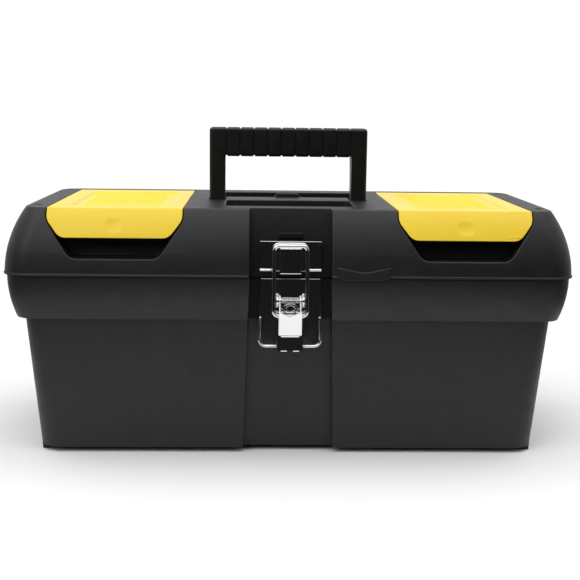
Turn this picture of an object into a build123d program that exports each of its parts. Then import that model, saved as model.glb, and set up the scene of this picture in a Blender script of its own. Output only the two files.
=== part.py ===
from build123d import *
import os

# Carpenter's toolbox in moulded plastic. X runs along the box, Y from front (-) to back (+),
# Z up from the surface it stands on. The origin is under the middle of the box.

# ---------------------------------------------------------------- shell sizes, mm
LENGTH = 404.8            # lid at the seam, end to end, without its bead
DEPTH = 200.0             # lid at the seam, front to back, without its bead
HEIGHT = 180.0            # floor to the lid's flat top
SEAM_Z = 133.0            # bottom edge of the lid
STEP_Z = 101.5            # underside of the tub's rim band
WALL = 2.6                # moulded wall of lid and tub
LID_SETBACK = 14.5        # how far the lid's sides lean in between seam and top
LID_CORNER = 19.0         # plan radius of the lid
TOP_EDGE = 2.4            # rounding round the lid's top
BEAD = 0.6                # bead along the lid's lower edge stands out by this much
BEAD_HEIGHT = 1.5
RIM_OVERHANG = 2.0        # the lid stands out over the rim band by this much
RIM_SETBACK = 5.6         # how far the rim band leans in between seam and step
STEP_SETBACK = 4.6        # ledge under the rim band
BODY_TAPER = 8.4          # how far the lower body leans in on its way to the floor
BODY_CORNER = 15.0
FOOT_HEIGHT = 3.6
FOOT_WIDTH = 5.6
FOOT_LENGTH = 28.0
FOOT_INSET_X = 1.0        # from the lower body's end to the foot
FOOT_INSET_Y = 9.0        # from the lower body's front or back to the foot
FOOT_ROOT = 1.0           # how far the foot runs up into the floor
SEAM_GAP = 0.5            # daylight between lid and rim
TONGUE_HEIGHT = 4.0       # upstand of the rim inside the lid
TONGUE_THICK = 1.6
TONGUE_GAP = 1.3          # between the upstand and the lid's inner face
TONGUE_CUT = 16.0         # depth of the upstand's breaks at the latch and the hinges

# ---------------------------------------------------------------- latch recess
RECESS_DEPTH = 6.1
RECESS_HALF_TOP = 28.9
RECESS_HALF_BOTTOM = 33.0

# ---------------------------------------------------------------- organizer compartments and lids
ORG_INNER_X = 76.2        # edge of the yellow lid nearest the middle
ORG_OUTER_X = LENGTH / 2 - 31.4
ORG_REAR_Y = DEPTH / 2 - 25.0
ORG_GAP = 0.7             # daylight round the lid
ORG_THICK = 2.7
ORG_LEDGE_DEPTH = 3.0     # the lid's rebate in the shell
ORG_LEDGE_WIDTH = 3.4
ORG_WALL = 2.0
ORG_FLOOR_Z = 142.0
ORG_KNUCKLE_R = 3.0
ORG_STUB_D = 3.5
ORG_STUB_LENGTH = 3.6
ORG_LIP_Z = 159.6         # lower edge of the front lip
ORG_LIP_TAPER_Z = 172.0   # the lip's sides are upright above this
ORG_LIP_INSET = 9.4       # the lip is this much narrower each side at its lower edge
ORG_FIELD_MARGIN = 12.6   # from the lid's edge to the sunk field
ORG_FIELD_DEPTH = 1.9
ORG_RIBS = 6
ORG_RIB_HEIGHT = 0.9
COVE_Z = 145.4            # floor of the finger recess below the lip
COVE_BACK_Y = -DEPTH / 2 + 22.0     # front face of the compartment's front wall
COVE_TAPER = 7.4          # the finger recess is this much narrower each side than the lip
SHELL_TAPER = 5.6         # the same for the outside of the recess's wall
COVE_CORNER = 9.0         # rounding of lip and finger recess
SKIN = 0.5                # raised blocks stop this far below the lid's top
FIELD_FRONT = 7.0         # from the compartment's front wall to the sunk field
FIELD_REAR = 17.0         # from the sunk field to the lid's pivot
RIB_WIDTH = 2.2
RIB_END = 7.0             # from a rib's end to the edge of the field

# ---------------------------------------------------------------- handle
HANDLE_HALF = 60.5
HANDLE_TOP_Z = 235.0
HANDLE_THICK = 15.0
HANDLE_LEG = 12.0
GRIP_HEIGHT = 22.0
HANDLE_PIVOT_Y = -2.0
HANDLE_PIN_D = 5.0
HANDLE_PIN_LENGTH = 21.0
HANDLE_CORNER = 2.5
HANDLE_ROUND = 2.2        # rounding along the grip
GROOVE_CORNER = 1.5
WELL_SIDE = 6.0           # plastic round the handle's well that carries the pins
WELL_REAR_GAP = 1.0       # extra room behind the folded handle
HANDLE_CLEARANCE = 0.6    # round the handle when it is folded away
GRIP_GROOVES = 10
GROOVE_PITCH = 10.55
GROOVE_WIDTH = 1.3
GROOVE_DEPTH = 0.9
LAND_REAR_Y = HANDLE_PIVOT_Y + 18.0       # rear edge of the strip between the handle's legs
DISH_HALF = 47.0          # shallow parts dish in front of the handle
DISH_FRONT_Y = -DEPTH / 2 + 38.0
DISH_REAR_Y = HANDLE_PIVOT_Y - 11.0
DISH_CORNER = 4.0
DISH_DEPTH = 6.0

# ---------------------------------------------------------------- lid hinges
HINGE_Y = DEPTH / 2 + 0.5
HINGE_R = 4.0
HINGE_X = LENGTH / 2 - 72.4         # middle of each hinge
HINGE_LENGTH = 50.0
HINGE_KNUCKLE = 12.0      # each of the tub's two outer knuckles
HINGE_PIN_D = 4.0
HINGE_ROOT = 2.0          # how far the brackets reach into the walls
HINGE_BRACKET = 14.0      # height of the brackets
PIN_CHAMFER = 0.4

# ---------------------------------------------------------------- latch
SHEET = 1.2               # plated steel sheet
PLATE_SEAT = 0.1          # between the latch plates and the recess behind them
PLATE_BACK_Y = -DEPTH / 2 + RECESS_DEPTH - PLATE_SEAT     # rear face of both latch plates
STRIKE_HALF = 21.7
STRIKE_Z = (137.2, 158.4)
HOOK_HALF = 7.5
HOOK_Z = (135.5, 153.8)
HOOK_REACH = 3.4          # how far the hook stands in front of its plate
BASE_HALF = (22.7, 21.0)  # lower plate, at its bottom and at its top
BASE_Z = (82.6, 132.0)
BASE_ROLL = 1.5           # raised rolled edge round the lower plate
BASE_ROLL_Z = 104.5       # the rolled edge starts here
LEVER_PIVOT = (PLATE_BACK_Y - 4.6, 116.5)     # Y, Z
LEVER_PIN_D = 3.0
LUG_X = (8.3, 9.9)
CHEEK_X = (6.7, 7.9)
LEVER_HALF = 8.1
LEVER_FRONT_Y = PLATE_BACK_Y - 10.9
LEVER_LEAN = 2.0          # the finger plate leans in by this much towards its foot
NOTCH_DEPTH = 2.8         # notch in the finger plate's top edge
LEVER_Z = (92.5, 109.3)
GRIP_HALF = 9.0
GRIP_Z = (81.6, 92.5)
LOOP_HALF = 13.0          # outside of the wire loop
LOOP_WIRE_D = 2.6
LOOP_Z = (104.7, 157.0)
LOOP_Y = PLATE_BACK_Y - 6.3
LOOP_BEND = 3.7           # centreline radius of the loop's corners
RIVET_D = 3.2
RIVET_HEAD_D = 5.6
RIVET_HEAD = 1.1
STRIKE_RIVET_Z = (141.5, 149.5)
BASE_RIVET_Z = (90.0, 99.0)
WASHER_D = 8.0
WASHER = 0.8
RIM_PAD = 8.5             # depth of the rivet pad on the rim
BODY_PAD = 17.0
PAD_INSET = 3.0           # the pads are this much smaller than their plates
STAPLE_HALF = 4.6
STAPLE_TOP_Z = 115.5
STAPLE_FOOT_Z = 109.9
STAPLE_FRONT_Y = PLATE_BACK_Y - 9.9
STAPLE_STRIP = 1.6
STAPLE_BEND = 0.8         # rounding of the arch, as a share of its half width
BASE_CORNER = 5.5         # rounded lower corners of the base plate
LUG_R = 3.4
LEVER_EYE_R = 3.0         # rounding of the lever's cheeks round its pin
LEVER_TAIL_Y = PLATE_BACK_Y - 5.6   # back of the lever's tail at its tip
LEVER_TAIL_Z = 80.6
GRIP_GAP = 1.2            # bare metal between finger plate and grip
GRIP_THICK = 3.2          # moulded grip where it meets the finger plate
TAIL_SLOT = 4.2           # slot that parts the tail's tip in two

# ---------------------------------------------------------------- tote tray
TRAY_CLEARANCE = 1.6      # from the tray's flange to the rim's inner face
TRAY_GAP = 0.4            # under the flange when the tray rests
TRAY_WALL = 2.0
TRAY_FLOOR_Z = 68.0
TRAY_FLANGE = 2.4
TRAY_INSET = 14.0         # from the flange's edge to the tray's wall
TRAY_HANDLE_Z = 134.0
TRAY_HANDLE_HALF = 62.0
TRAY_MIDDLE_WALL = 4.0
TRAY_CORNER = 8.0
TRAY_TAPER = 4.0          # how far the walls lean in on their way to the floor
TRAY_NOTCH = 22.0         # the flange is cut back this far behind the latch
TRAY_GRIP_HEIGHT = 10.0   # bar above the finger slot
TRAY_SLOT_HEIGHT = 18.0
TRAY_SLOT_END = 15.0      # from the slot's end to the end of the handle
TRAY_WALL_DROP = 7.0      # the cross walls stay this far below the flange

# ---------------------------------------------------------------- small lid details
HOOK_EDGE = 0.8
THUMB_RADIUS = 36.0       # ball that scoops the thumb rest out of the organizer lid's lip
THUMB_DEPTH = 0.8
THUMB_Z = 168.0
STRIKE_PAD = 7.4          # depth of the rivet pad behind the strike plate
CATCH_HALF = 11.4
CATCH_TOP_HALF = 8.2
CATCH_RISE = 3.0
CATCH_ROUND = 1.2
TAB_HALF = 8.4            # locating tab above the strike plate
TAB_Z = (160.0, 163.5)
TAB_FRONT = 2.6           # from the plates' rear face back to the tab's front
TAB_DEEP = 5.0
CATCH_DEEP = 3.0
DIMPLE_X = LENGTH / 2 - 21.4
DIMPLE_FRONT_Y = -DEPTH / 2 + 35.0
DIMPLE_REAR_Y = DEPTH / 2 - 26.0
DIMPLE_R = 3.2
DIMPLE_DEPTH = 1.6
DIVIDER_HEIGHT = 28.0
LIFT_X = (33.0, 70.0)     # finger lift on the lid's front edge
LIFT_DROP = 1.2
LIFT_REACH = 1.4
LIFT_HIGH = 7.5           # the lift's height at its ends
LIFT_SHOULDER = 6.2
LIFT_LOW = 4.2            # and at its middle
LIFT_CORNER = 7.0
LIFT_ROOT = 1.5

# ---------------------------------------------------------------- fits
RUNNING = 0.05            # radial clearance of a pin that turns
BODY_GAP = 0.4            # daylight between pieces that move past each other

PIVOT_Z = HEIGHT - HANDLE_THICK / 2
RIM_TOP = SEAM_Z - SEAM_GAP
RIM_LENGTH = LENGTH - 2 * RIM_OVERHANG
RIM_DEPTH = DEPTH - 2 * RIM_OVERHANG
BODY_LENGTH = RIM_LENGTH - 2 * (RIM_SETBACK + STEP_SETBACK)
BODY_DEPTH = RIM_DEPTH - 2 * (RIM_SETBACK + STEP_SETBACK)
ORG_MID_X = (ORG_INNER_X + ORG_OUTER_X) / 2
ORG_WIDTH = ORG_OUTER_X - ORG_INNER_X
ORG_AXIS_Y = ORG_REAR_Y - ORG_KNUCKLE_R
ORG_AXIS_Z = HEIGHT - ORG_KNUCKLE_R
PLATE_FRONT_Y = PLATE_BACK_Y - SHEET
lid_rise = HEIGHT - SEAM_Z
lid_bow = (lid_rise**2 + LID_SETBACK**2) / (2 * LID_SETBACK)    # radius of the lid's curved sides

os.makedirs("parts", exist_ok=True)


# ---------------------------------------------------------------- shapes used more than once
def barrel_outline(half, z_wide, z_narrow, setback):
    """Upright outline, flat above and below, whose sides leave z_wide upright and curve in."""
    rise = z_narrow - z_wide
    with BuildSketch() as outline:
        with BuildLine():
            side = TangentArc((half, z_wide), (half - setback, z_narrow), tangent=(0, rise))
            far = TangentArc((-half, z_wide), (setback - half, z_narrow), tangent=(0, rise))
            Line(side @ 0, far @ 0)
            Line(side @ 1, far @ 1)
        make_face()
    return outline.sketch


def barrel_block(length, depth, z_wide, z_narrow, setback, corner):
    """Block that curves in on all four sides, with rounded upright corners."""
    with BuildPart() as block:
        with BuildSketch(Plane.XZ):
            add(barrel_outline(length / 2, z_wide, z_narrow, setback))
        extrude(amount=depth / 2, both=True)
        with BuildSketch(Plane.YZ):
            add(barrel_outline(depth / 2, z_wide, z_narrow, setback))
        extrude(amount=length / 2, both=True, mode=Mode.INTERSECT)
        upright = block.edges().filter_by(lambda edge: edge.bounding_box().size.Z > 1)
        fillet(upright, radius=corner)
    return block.part


def lid_block(inset, top, depth_inset=None):
    """The lid's outer form, drawn in by an inset, up to a given height."""
    across = inset if depth_inset is None else depth_inset
    corner = max(LID_CORNER - inset, 2.0)
    bow = lid_bow - inset
    setback = bow - (bow**2 - (top - SEAM_Z) ** 2) ** 0.5
    return barrel_block(
        LENGTH - 2 * inset, DEPTH - 2 * across, SEAM_Z, top, setback, corner
    )


def tub_block(inset, floor_rise, depth_inset=None):
    """The tub's outer form, drawn in by an inset, with floor and step raised together."""
    across = inset if depth_inset is None else depth_inset
    corner = max(BODY_CORNER - inset, 2.0)
    rim = barrel_block(
        RIM_LENGTH - 2 * inset,
        RIM_DEPTH - 2 * across,
        RIM_TOP,
        STEP_Z + floor_rise,
        RIM_SETBACK,
        corner,
    )
    with BuildPart() as block:
        with BuildSketch(Plane.XY.offset(FOOT_HEIGHT + floor_rise)):
            RectangleRounded(
                BODY_LENGTH - 2 * (BODY_TAPER + inset),
                BODY_DEPTH - 2 * (BODY_TAPER + across),
                corner,
            )
        with BuildSketch(Plane.XY.offset(STEP_Z + floor_rise)):
            RectangleRounded(BODY_LENGTH - 2 * inset, BODY_DEPTH - 2 * across, corner)
        loft()
        add(rim)
    return block.part


def recess_prism(margin):
    """Upright wedge in front of the box, as wide as the latch recess plus a margin."""
    with BuildPart() as prism:
        with BuildSketch(Plane.XZ):
            with BuildLine():
                Polyline(
                    (RECESS_HALF_BOTTOM + margin, -1),
                    (RECESS_HALF_TOP + margin, SEAM_Z),
                    (RECESS_HALF_TOP + margin, HEIGHT + 1),
                    (-RECESS_HALF_TOP - margin, HEIGHT + 1),
                    (-RECESS_HALF_TOP - margin, SEAM_Z),
                    (-RECESS_HALF_BOTTOM - margin, -1),
                    close=True,
                )
            make_face()
        extrude(amount=DEPTH)
    return prism.part


# ---------------------------------------------------------------- rivets and their washers
strike_inner_y = PLATE_BACK_Y + STRIKE_PAD
base_inner_y = PLATE_BACK_Y + BODY_PAD
strike_spots = [(0, z) for z in STRIKE_RIVET_Z]
base_spots = [(0, z) for z in BASE_RIVET_Z]


def rivet_group(spots, inner_y):
    """Domed rivets through plate, pad and washer, each upset on the inside."""
    with BuildPart() as rivets:
        with BuildSketch(Plane.XZ.offset(-inner_y - WASHER)):
            with Locations(*spots):
                Circle(RIVET_D / 2)
        extrude(amount=inner_y + WASHER - PLATE_FRONT_Y)
        for face_y, amount in ((PLATE_FRONT_Y, RIVET_HEAD), (inner_y + WASHER, -RIVET_HEAD)):
            with BuildSketch(Plane.XZ.offset(-face_y)):
                with Locations(*spots):
                    Circle(RIVET_HEAD_D / 2)
            extrude(amount=amount, taper=30)
    return rivets.part


def washer_group(spots, inner_y):
    """Plain washers that spread the rivets' pull on the inside of the wall."""
    with BuildPart() as washers:
        with BuildSketch(Plane.XZ.offset(-inner_y - WASHER)):
            with Locations(*spots):
                Circle(WASHER_D / 2)
                Circle(RIVET_D / 2, mode=Mode.SUBTRACT)
        extrude(amount=WASHER)
    return washers.part


def rivet_holes(spots, inner_y):
    """Holes for the rivets through the plastic pad."""
    with BuildPart() as holes:
        with BuildSketch(Plane.XZ.offset(-inner_y - 1)):
            with Locations(*spots):
                Circle(RIVET_D / 2)
        extrude(amount=inner_y + 1 - PLATE_BACK_Y)
    return holes.part


# ---------------------------------------------------------------- base tub
recess_cut = recess_prism(0)
recess_backing = recess_prism(WALL)
tub_outer = tub_block(0, 0)
tub_recess_core = tub_block(0, 0, RECESS_DEPTH)
tub_cavity = tub_block(WALL, WALL)
tub_backing_core = tub_block(WALL, WALL, RECESS_DEPTH + WALL)
knuckle_span = HINGE_LENGTH - HINGE_KNUCKLE
tongue_inset = WALL + TONGUE_GAP
tongue_break = RECESS_HALF_TOP + 2 * WALL

with BuildPart() as tub_recess_tool:
    add(recess_cut)
    add(tub_recess_core, mode=Mode.SUBTRACT)

with BuildPart() as tub_hollow:
    add(tub_cavity)
    add(recess_backing, mode=Mode.SUBTRACT)
    add(tub_backing_core)

with BuildPart() as base_tub:
    add(tub_outer)
    # feet at the four corners
    with Locations((0, 0, (FOOT_HEIGHT + FOOT_ROOT) / 2)):
        with GridLocations(
            BODY_LENGTH - 2 * (BODY_TAPER + FOOT_INSET_X) - FOOT_WIDTH,
            BODY_DEPTH - 2 * (BODY_TAPER + FOOT_INSET_Y) - FOOT_LENGTH,
            2,
            2,
        ):
            Box(FOOT_WIDTH, FOOT_LENGTH, FOOT_HEIGHT + FOOT_ROOT)
    add(tub_hollow.part, mode=Mode.SUBTRACT)
    # upstand of the rim that the lid closes over, left out behind the latch
    with BuildSketch(Plane.XY.offset(RIM_TOP - WALL)):
        RectangleRounded(
            LENGTH - 2 * tongue_inset, DEPTH - 2 * tongue_inset, LID_CORNER - tongue_inset
        )
        offset(amount=-TONGUE_THICK, mode=Mode.SUBTRACT)
    extrude(amount=WALL + TONGUE_HEIGHT)
    with BuildSketch(Plane.XY.offset(RIM_TOP)):
        with Locations((0, -DEPTH / 2)):
            Rectangle(2 * tongue_break, 2 * TONGUE_CUT)
        for side in (-1, 1):
            with Locations((side * HINGE_X, DEPTH / 2)):
                Rectangle(HINGE_LENGTH + 2 * HINGE_ROOT, TONGUE_CUT)
    extrude(amount=TONGUE_HEIGHT + 1, mode=Mode.SUBTRACT)
    add(tub_recess_tool.part, mode=Mode.SUBTRACT)
    # pads that carry the latch's lower plate: one on the rim, a deeper one below it
    with BuildSketch(Plane.XY.offset(STEP_Z + WALL)):
        with Locations((0, PLATE_BACK_Y)):
            Rectangle(2 * (BASE_HALF[1] - PAD_INSET), RIM_PAD, align=(Align.CENTER, Align.MIN))
    extrude(amount=BASE_Z[1] - PAD_INSET - STEP_Z - WALL)
    with BuildSketch(Plane.XY.offset(BASE_Z[0] + PAD_INSET)):
        with Locations((0, PLATE_BACK_Y)):
            Rectangle(2 * (BASE_HALF[1] - PAD_INSET), BODY_PAD, align=(Align.CENTER, Align.MIN))
    extrude(amount=STEP_Z + WALL - BASE_Z[0] - PAD_INSET)
    # outer knuckles of the hinges with their brackets, and room for the lid's knuckles
    for side in (-1, 1):
        for end in (-1, 1):
            middle = side * HINGE_X + end * knuckle_span / 2
            with BuildSketch(Plane.YZ.offset(middle - HINGE_KNUCKLE / 2)):
                with Locations((HINGE_Y, SEAM_Z)):
                    Circle(HINGE_R)
                with BuildLine():
                    Polyline(
                        (HINGE_Y - HINGE_R - HINGE_ROOT, SEAM_Z - SEAM_GAP),
                        (HINGE_Y, SEAM_Z - SEAM_GAP),
                        (HINGE_Y + HINGE_R, SEAM_Z),
                        (HINGE_Y - HINGE_R - HINGE_ROOT, SEAM_Z - HINGE_BRACKET),
                        close=True,
                    )
                make_face()
            extrude(amount=HINGE_KNUCKLE)
        with BuildSketch(Plane.YZ.offset(side * HINGE_X - knuckle_span / 2 + HINGE_KNUCKLE / 2)):
            with Locations((HINGE_Y, SEAM_Z)):
                Circle(HINGE_R + BODY_GAP)
        extrude(amount=HINGE_LENGTH - 2 * HINGE_KNUCKLE, mode=Mode.SUBTRACT)
        with Locations(Pos(side * HINGE_X, HINGE_Y, SEAM_Z)):
            Cylinder(HINGE_PIN_D / 2, HINGE_LENGTH + 1, rotation=(0, 90, 0), mode=Mode.SUBTRACT)

    add(rivet_holes(base_spots, base_inner_y), mode=Mode.SUBTRACT)

base_tub.part.label = "base_tub"
export_step(base_tub.part, "parts/base_tub.step")

# ---------------------------------------------------------------- organizer outlines
lip_half = ORG_WIDTH / 2
lip_low_half = lip_half - ORG_LIP_INSET


def lip_outline(margin, low_z, low_half, corner):
    """Front outline of the lip, or of the finger recess round it, about its own middle."""
    with BuildSketch() as outline:
        with BuildLine():
            Polyline(
                (-lip_half - margin, HEIGHT + margin),
                (-lip_half - margin, ORG_LIP_TAPER_Z),
                (-low_half, low_z),
                (low_half, low_z),
                (lip_half + margin, ORG_LIP_TAPER_Z),
                (lip_half + margin, HEIGHT + margin),
                close=True,
            )
        make_face()
        fillet(outline.vertices().group_by(Axis.Y)[0], radius=corner)
        fillet(outline.vertices().group_by(Axis.Y)[-2], radius=corner)
    return outline.sketch


def lip_prism(face, back_y):
    """The outline carried back from the front of the lid to back_y, on the right-hand side."""
    with BuildPart() as prism:
        with BuildSketch(Plane.XZ.offset(-back_y)):
            with Locations((ORG_MID_X, 0)):
                add(face)
        extrude(amount=DEPTH / 2 + 1 + back_y)
    return prism.part


cove_outline = lip_outline(ORG_GAP, COVE_Z, lip_low_half - COVE_TAPER, COVE_CORNER)
cove_shell = lip_outline(
    ORG_GAP + ORG_WALL, COVE_Z - ORG_WALL, lip_low_half - SHELL_TAPER, COVE_CORNER + 1
)
lip_face = lip_outline(0, ORG_LIP_Z, lip_low_half, COVE_CORNER)
opening_half = ORG_WIDTH / 2 + ORG_GAP - ORG_LEDGE_WIDTH
opening_rear = ORG_AXIS_Y - ORG_KNUCKLE_R - BODY_GAP - ORG_WALL
opening_front = COVE_BACK_Y + ORG_WALL
opening_mid = (opening_front + opening_rear) / 2
block_rear = ORG_REAR_Y + ORG_GAP + ORG_WALL
block_mid = (COVE_BACK_Y + block_rear) / 2

# right-hand compartment as it hangs in the lid, before it is hollowed
with BuildPart() as compartment:
    add(lip_prism(cove_shell, COVE_BACK_Y + ORG_WALL))
    with BuildSketch(Plane.XY.offset(ORG_FLOOR_Z - ORG_WALL)):
        with Locations((ORG_MID_X, (COVE_BACK_Y + opening_rear + ORG_WALL) / 2)):
            Rectangle(
                2 * (opening_half + ORG_WALL), opening_rear + ORG_WALL - COVE_BACK_Y
            )
    extrude(amount=HEIGHT - ORG_FLOOR_Z)
    with BuildSketch(Plane.XY.offset(HEIGHT - 2 * ORG_KNUCKLE_R - ORG_WALL - BODY_GAP)):
        with Locations((ORG_MID_X, ORG_AXIS_Y)):
            Rectangle(
                ORG_WIDTH + 2 * (ORG_GAP + ORG_STUB_LENGTH + ORG_WALL),
                2 * (ORG_KNUCKLE_R + ORG_GAP + ORG_WALL),
            )
    extrude(amount=2 * ORG_KNUCKLE_R + ORG_WALL)
    with BuildSketch(Plane.XY.offset(HEIGHT - ORG_LEDGE_DEPTH - ORG_WALL)):
        with Locations((ORG_MID_X, block_mid)):
            Rectangle(ORG_WIDTH + 2 * (ORG_GAP + ORG_WALL), block_rear - COVE_BACK_Y)
    extrude(amount=ORG_LEDGE_DEPTH + ORG_WALL - SKIN)

# everything the compartment, its rebate and the finger recess take away
with BuildPart() as compartment_cut:
    add(lip_prism(cove_outline, COVE_BACK_Y))
    with BuildSketch(Plane.XY.offset(HEIGHT - ORG_LEDGE_DEPTH)):
        with Locations((ORG_MID_X, (COVE_BACK_Y + ORG_REAR_Y + ORG_GAP) / 2)):
            Rectangle(ORG_WIDTH + 2 * ORG_GAP, ORG_REAR_Y + ORG_GAP - COVE_BACK_Y)
    extrude(amount=ORG_LEDGE_DEPTH + 1)
    with BuildSketch(Plane.XY.offset(ORG_FLOOR_Z)):
        with Locations((ORG_MID_X, opening_mid)):
            Rectangle(2 * opening_half, opening_rear - opening_front)
    extrude(amount=HEIGHT - ORG_FLOOR_Z)
    with BuildSketch(Plane.YZ.offset(ORG_INNER_X - ORG_GAP)):
        with Locations((ORG_AXIS_Y, ORG_AXIS_Z)):
            Circle(ORG_KNUCKLE_R + BODY_GAP)
    extrude(amount=ORG_WIDTH + 2 * ORG_GAP)
    with BuildSketch(Plane.YZ.offset(ORG_INNER_X - ORG_STUB_LENGTH - BODY_GAP)):
        with Locations((ORG_AXIS_Y, ORG_AXIS_Z)):
            Circle(ORG_STUB_D / 2 + RUNNING)
    extrude(amount=ORG_WIDTH + 2 * (ORG_STUB_LENGTH + BODY_GAP))

# ---------------------------------------------------------------- lid shell
well_half = HANDLE_HALF + HANDLE_CLEARANCE
well_floor = PIVOT_Z - HANDLE_THICK / 2 - HANDLE_CLEARANCE
well_rear = HANDLE_PIVOT_Y + HANDLE_TOP_Z - PIVOT_Z + HANDLE_CLEARANCE + WELL_REAR_GAP
leg_inner = HANDLE_HALF - HANDLE_LEG - HANDLE_CLEARANCE
pocket_front = HANDLE_PIVOT_Y - HANDLE_THICK / 2 - HANDLE_CLEARANCE
lid_outer = lid_block(0, HEIGHT)
lid_inner = lid_block(WALL, HEIGHT - WALL)
lid_recess_core = lid_block(0, HEIGHT, RECESS_DEPTH)
lid_backing_core = lid_block(WALL, HEIGHT - WALL, RECESS_DEPTH + WALL)

with BuildPart() as lid_recess_tool:
    add(recess_cut)
    add(lid_recess_core, mode=Mode.SUBTRACT)

with BuildPart() as lid_hollow:
    add(lid_inner)
    add(recess_backing, mode=Mode.SUBTRACT)
    add(lid_backing_core)

with BuildPart() as lid_form:
    add(lid_outer)
    fillet(lid_form.faces().sort_by(Axis.Z)[-1].edges(), radius=TOP_EDGE)

with BuildPart() as lid_shell:
    add(lid_form.part)
    add(lid_hollow.part, mode=Mode.SUBTRACT)
    add(compartment.part)
    add(mirror(compartment.part, about=Plane.YZ, mode=Mode.PRIVATE))
    # solid round the handle's well, the parts dish and the pivots
    with BuildSketch(Plane.XY.offset(well_floor - WALL)):
        with Locations((0, (pocket_front + well_rear) / 2)):
            Rectangle(2 * (well_half + WELL_SIDE), well_rear - pocket_front + 2 * WALL)
    extrude(amount=HEIGHT - well_floor + WALL - SKIN)
    with BuildSketch(Plane.XY.offset(HEIGHT - DISH_DEPTH - WALL)):
        with Locations((0, (DISH_FRONT_Y + DISH_REAR_Y) / 2)):
            Rectangle(2 * (DISH_HALF + WALL), DISH_REAR_Y - DISH_FRONT_Y + 2 * WALL)
    extrude(amount=DISH_DEPTH + WALL - SKIN)
    add(lid_form.part, mode=Mode.INTERSECT)
    # bead along the lower edge
    with BuildSketch(Plane.XY.offset(SEAM_Z)):
        RectangleRounded(LENGTH + 2 * BEAD, DEPTH + 2 * BEAD, LID_CORNER + BEAD)
        RectangleRounded(LENGTH - WALL, DEPTH - WALL, LID_CORNER - WALL / 2, mode=Mode.SUBTRACT)
    extrude(amount=BEAD_HEIGHT)
    add(compartment_cut.part, mode=Mode.SUBTRACT)
    add(mirror(compartment_cut.part, about=Plane.YZ, mode=Mode.PRIVATE), mode=Mode.SUBTRACT)
    add(lid_recess_tool.part, mode=Mode.SUBTRACT)
    # pad that the strike plate is riveted to, and the tab that locates the plate
    with BuildSketch(Plane.XY.offset(STRIKE_Z[0] + PAD_INSET / 2)):
        with Locations((0, PLATE_BACK_Y)):
            Rectangle(2 * (STRIKE_HALF - PAD_INSET), STRIKE_PAD, align=(Align.CENTER, Align.MIN))
    extrude(amount=STRIKE_Z[1] - STRIKE_Z[0] - PAD_INSET)
    with BuildSketch(Plane.XY.offset(TAB_Z[0])):
        with Locations((0, PLATE_BACK_Y + TAB_FRONT)):
            Rectangle(2 * TAB_HALF, TAB_DEEP, align=(Align.CENTER, Align.MIN))
    extrude(amount=TAB_Z[1] - TAB_Z[0])
    # well that the handle folds into, and the parts dish
    with BuildSketch(Plane.XY.offset(well_floor)):
        with Locations((0, (LAND_REAR_Y + well_rear) / 2)):
            Rectangle(2 * well_half, well_rear - LAND_REAR_Y)
        for side in (-1, 1):
            with Locations((side * (leg_inner + well_half) / 2, (pocket_front + well_rear) / 2)):
                Rectangle(well_half - leg_inner, well_rear - pocket_front)
    extrude(amount=HANDLE_THICK + 2, mode=Mode.SUBTRACT)
    with BuildSketch(Plane.XY.offset(HEIGHT - DISH_DEPTH)):
        with Locations((0, (DISH_FRONT_Y + DISH_REAR_Y) / 2)):
            RectangleRounded(2 * DISH_HALF, DISH_REAR_Y - DISH_FRONT_Y, DISH_CORNER)
    extrude(amount=DISH_DEPTH + 1, mode=Mode.SUBTRACT)
    # hollow under the strip between the legs
    with BuildSketch(Plane.XY.offset(well_floor - WALL)):
        with Locations((0, (DISH_REAR_Y + LAND_REAR_Y) / 2)):
            Rectangle(2 * (leg_inner - WALL), LAND_REAR_Y - DISH_REAR_Y - 2 * WALL)
    extrude(amount=HANDLE_THICK, mode=Mode.SUBTRACT)
    with Locations(Pos(0, HANDLE_PIVOT_Y, PIVOT_Z)):
        with Locations((-HANDLE_HALF + HANDLE_LEG / 2, 0, 0), (HANDLE_HALF - HANDLE_LEG / 2, 0, 0)):
            Cylinder(
                HANDLE_PIN_D / 2, HANDLE_PIN_LENGTH, rotation=(0, 90, 0), mode=Mode.SUBTRACT
            )
    # raised catch on the rear edge of the strip
    with BuildSketch(Plane.XZ.offset(-LAND_REAR_Y)):
        with BuildLine():
            Polyline(
                (-CATCH_HALF, HEIGHT - CATCH_ROUND),
                (-CATCH_TOP_HALF, HEIGHT + CATCH_RISE),
                (CATCH_TOP_HALF, HEIGHT + CATCH_RISE),
                (CATCH_HALF, HEIGHT - CATCH_ROUND),
                close=True,
            )
        catch_face = make_face()
        fillet(catch_face.vertices().group_by(Axis.Z)[-1], radius=CATCH_ROUND)
    extrude(amount=CATCH_DEEP)
    # four round sink marks near the ends
    with Locations(Pos(0, 0, HEIGHT)):
        for side in (-1, 1):
            with Locations((side * DIMPLE_X, DIMPLE_FRONT_Y, 0), (side * DIMPLE_X, DIMPLE_REAR_Y, 0)):
                Cylinder(DIMPLE_R, 2 * DIMPLE_DEPTH, mode=Mode.SUBTRACT)
    # divider in each compartment
    for side in (-1, 1):
        with Locations((side * ORG_MID_X, opening_mid, ORG_FLOOR_Z + DIVIDER_HEIGHT / 2)):
            Box(ORG_WALL, opening_rear - opening_front, DIVIDER_HEIGHT)
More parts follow.
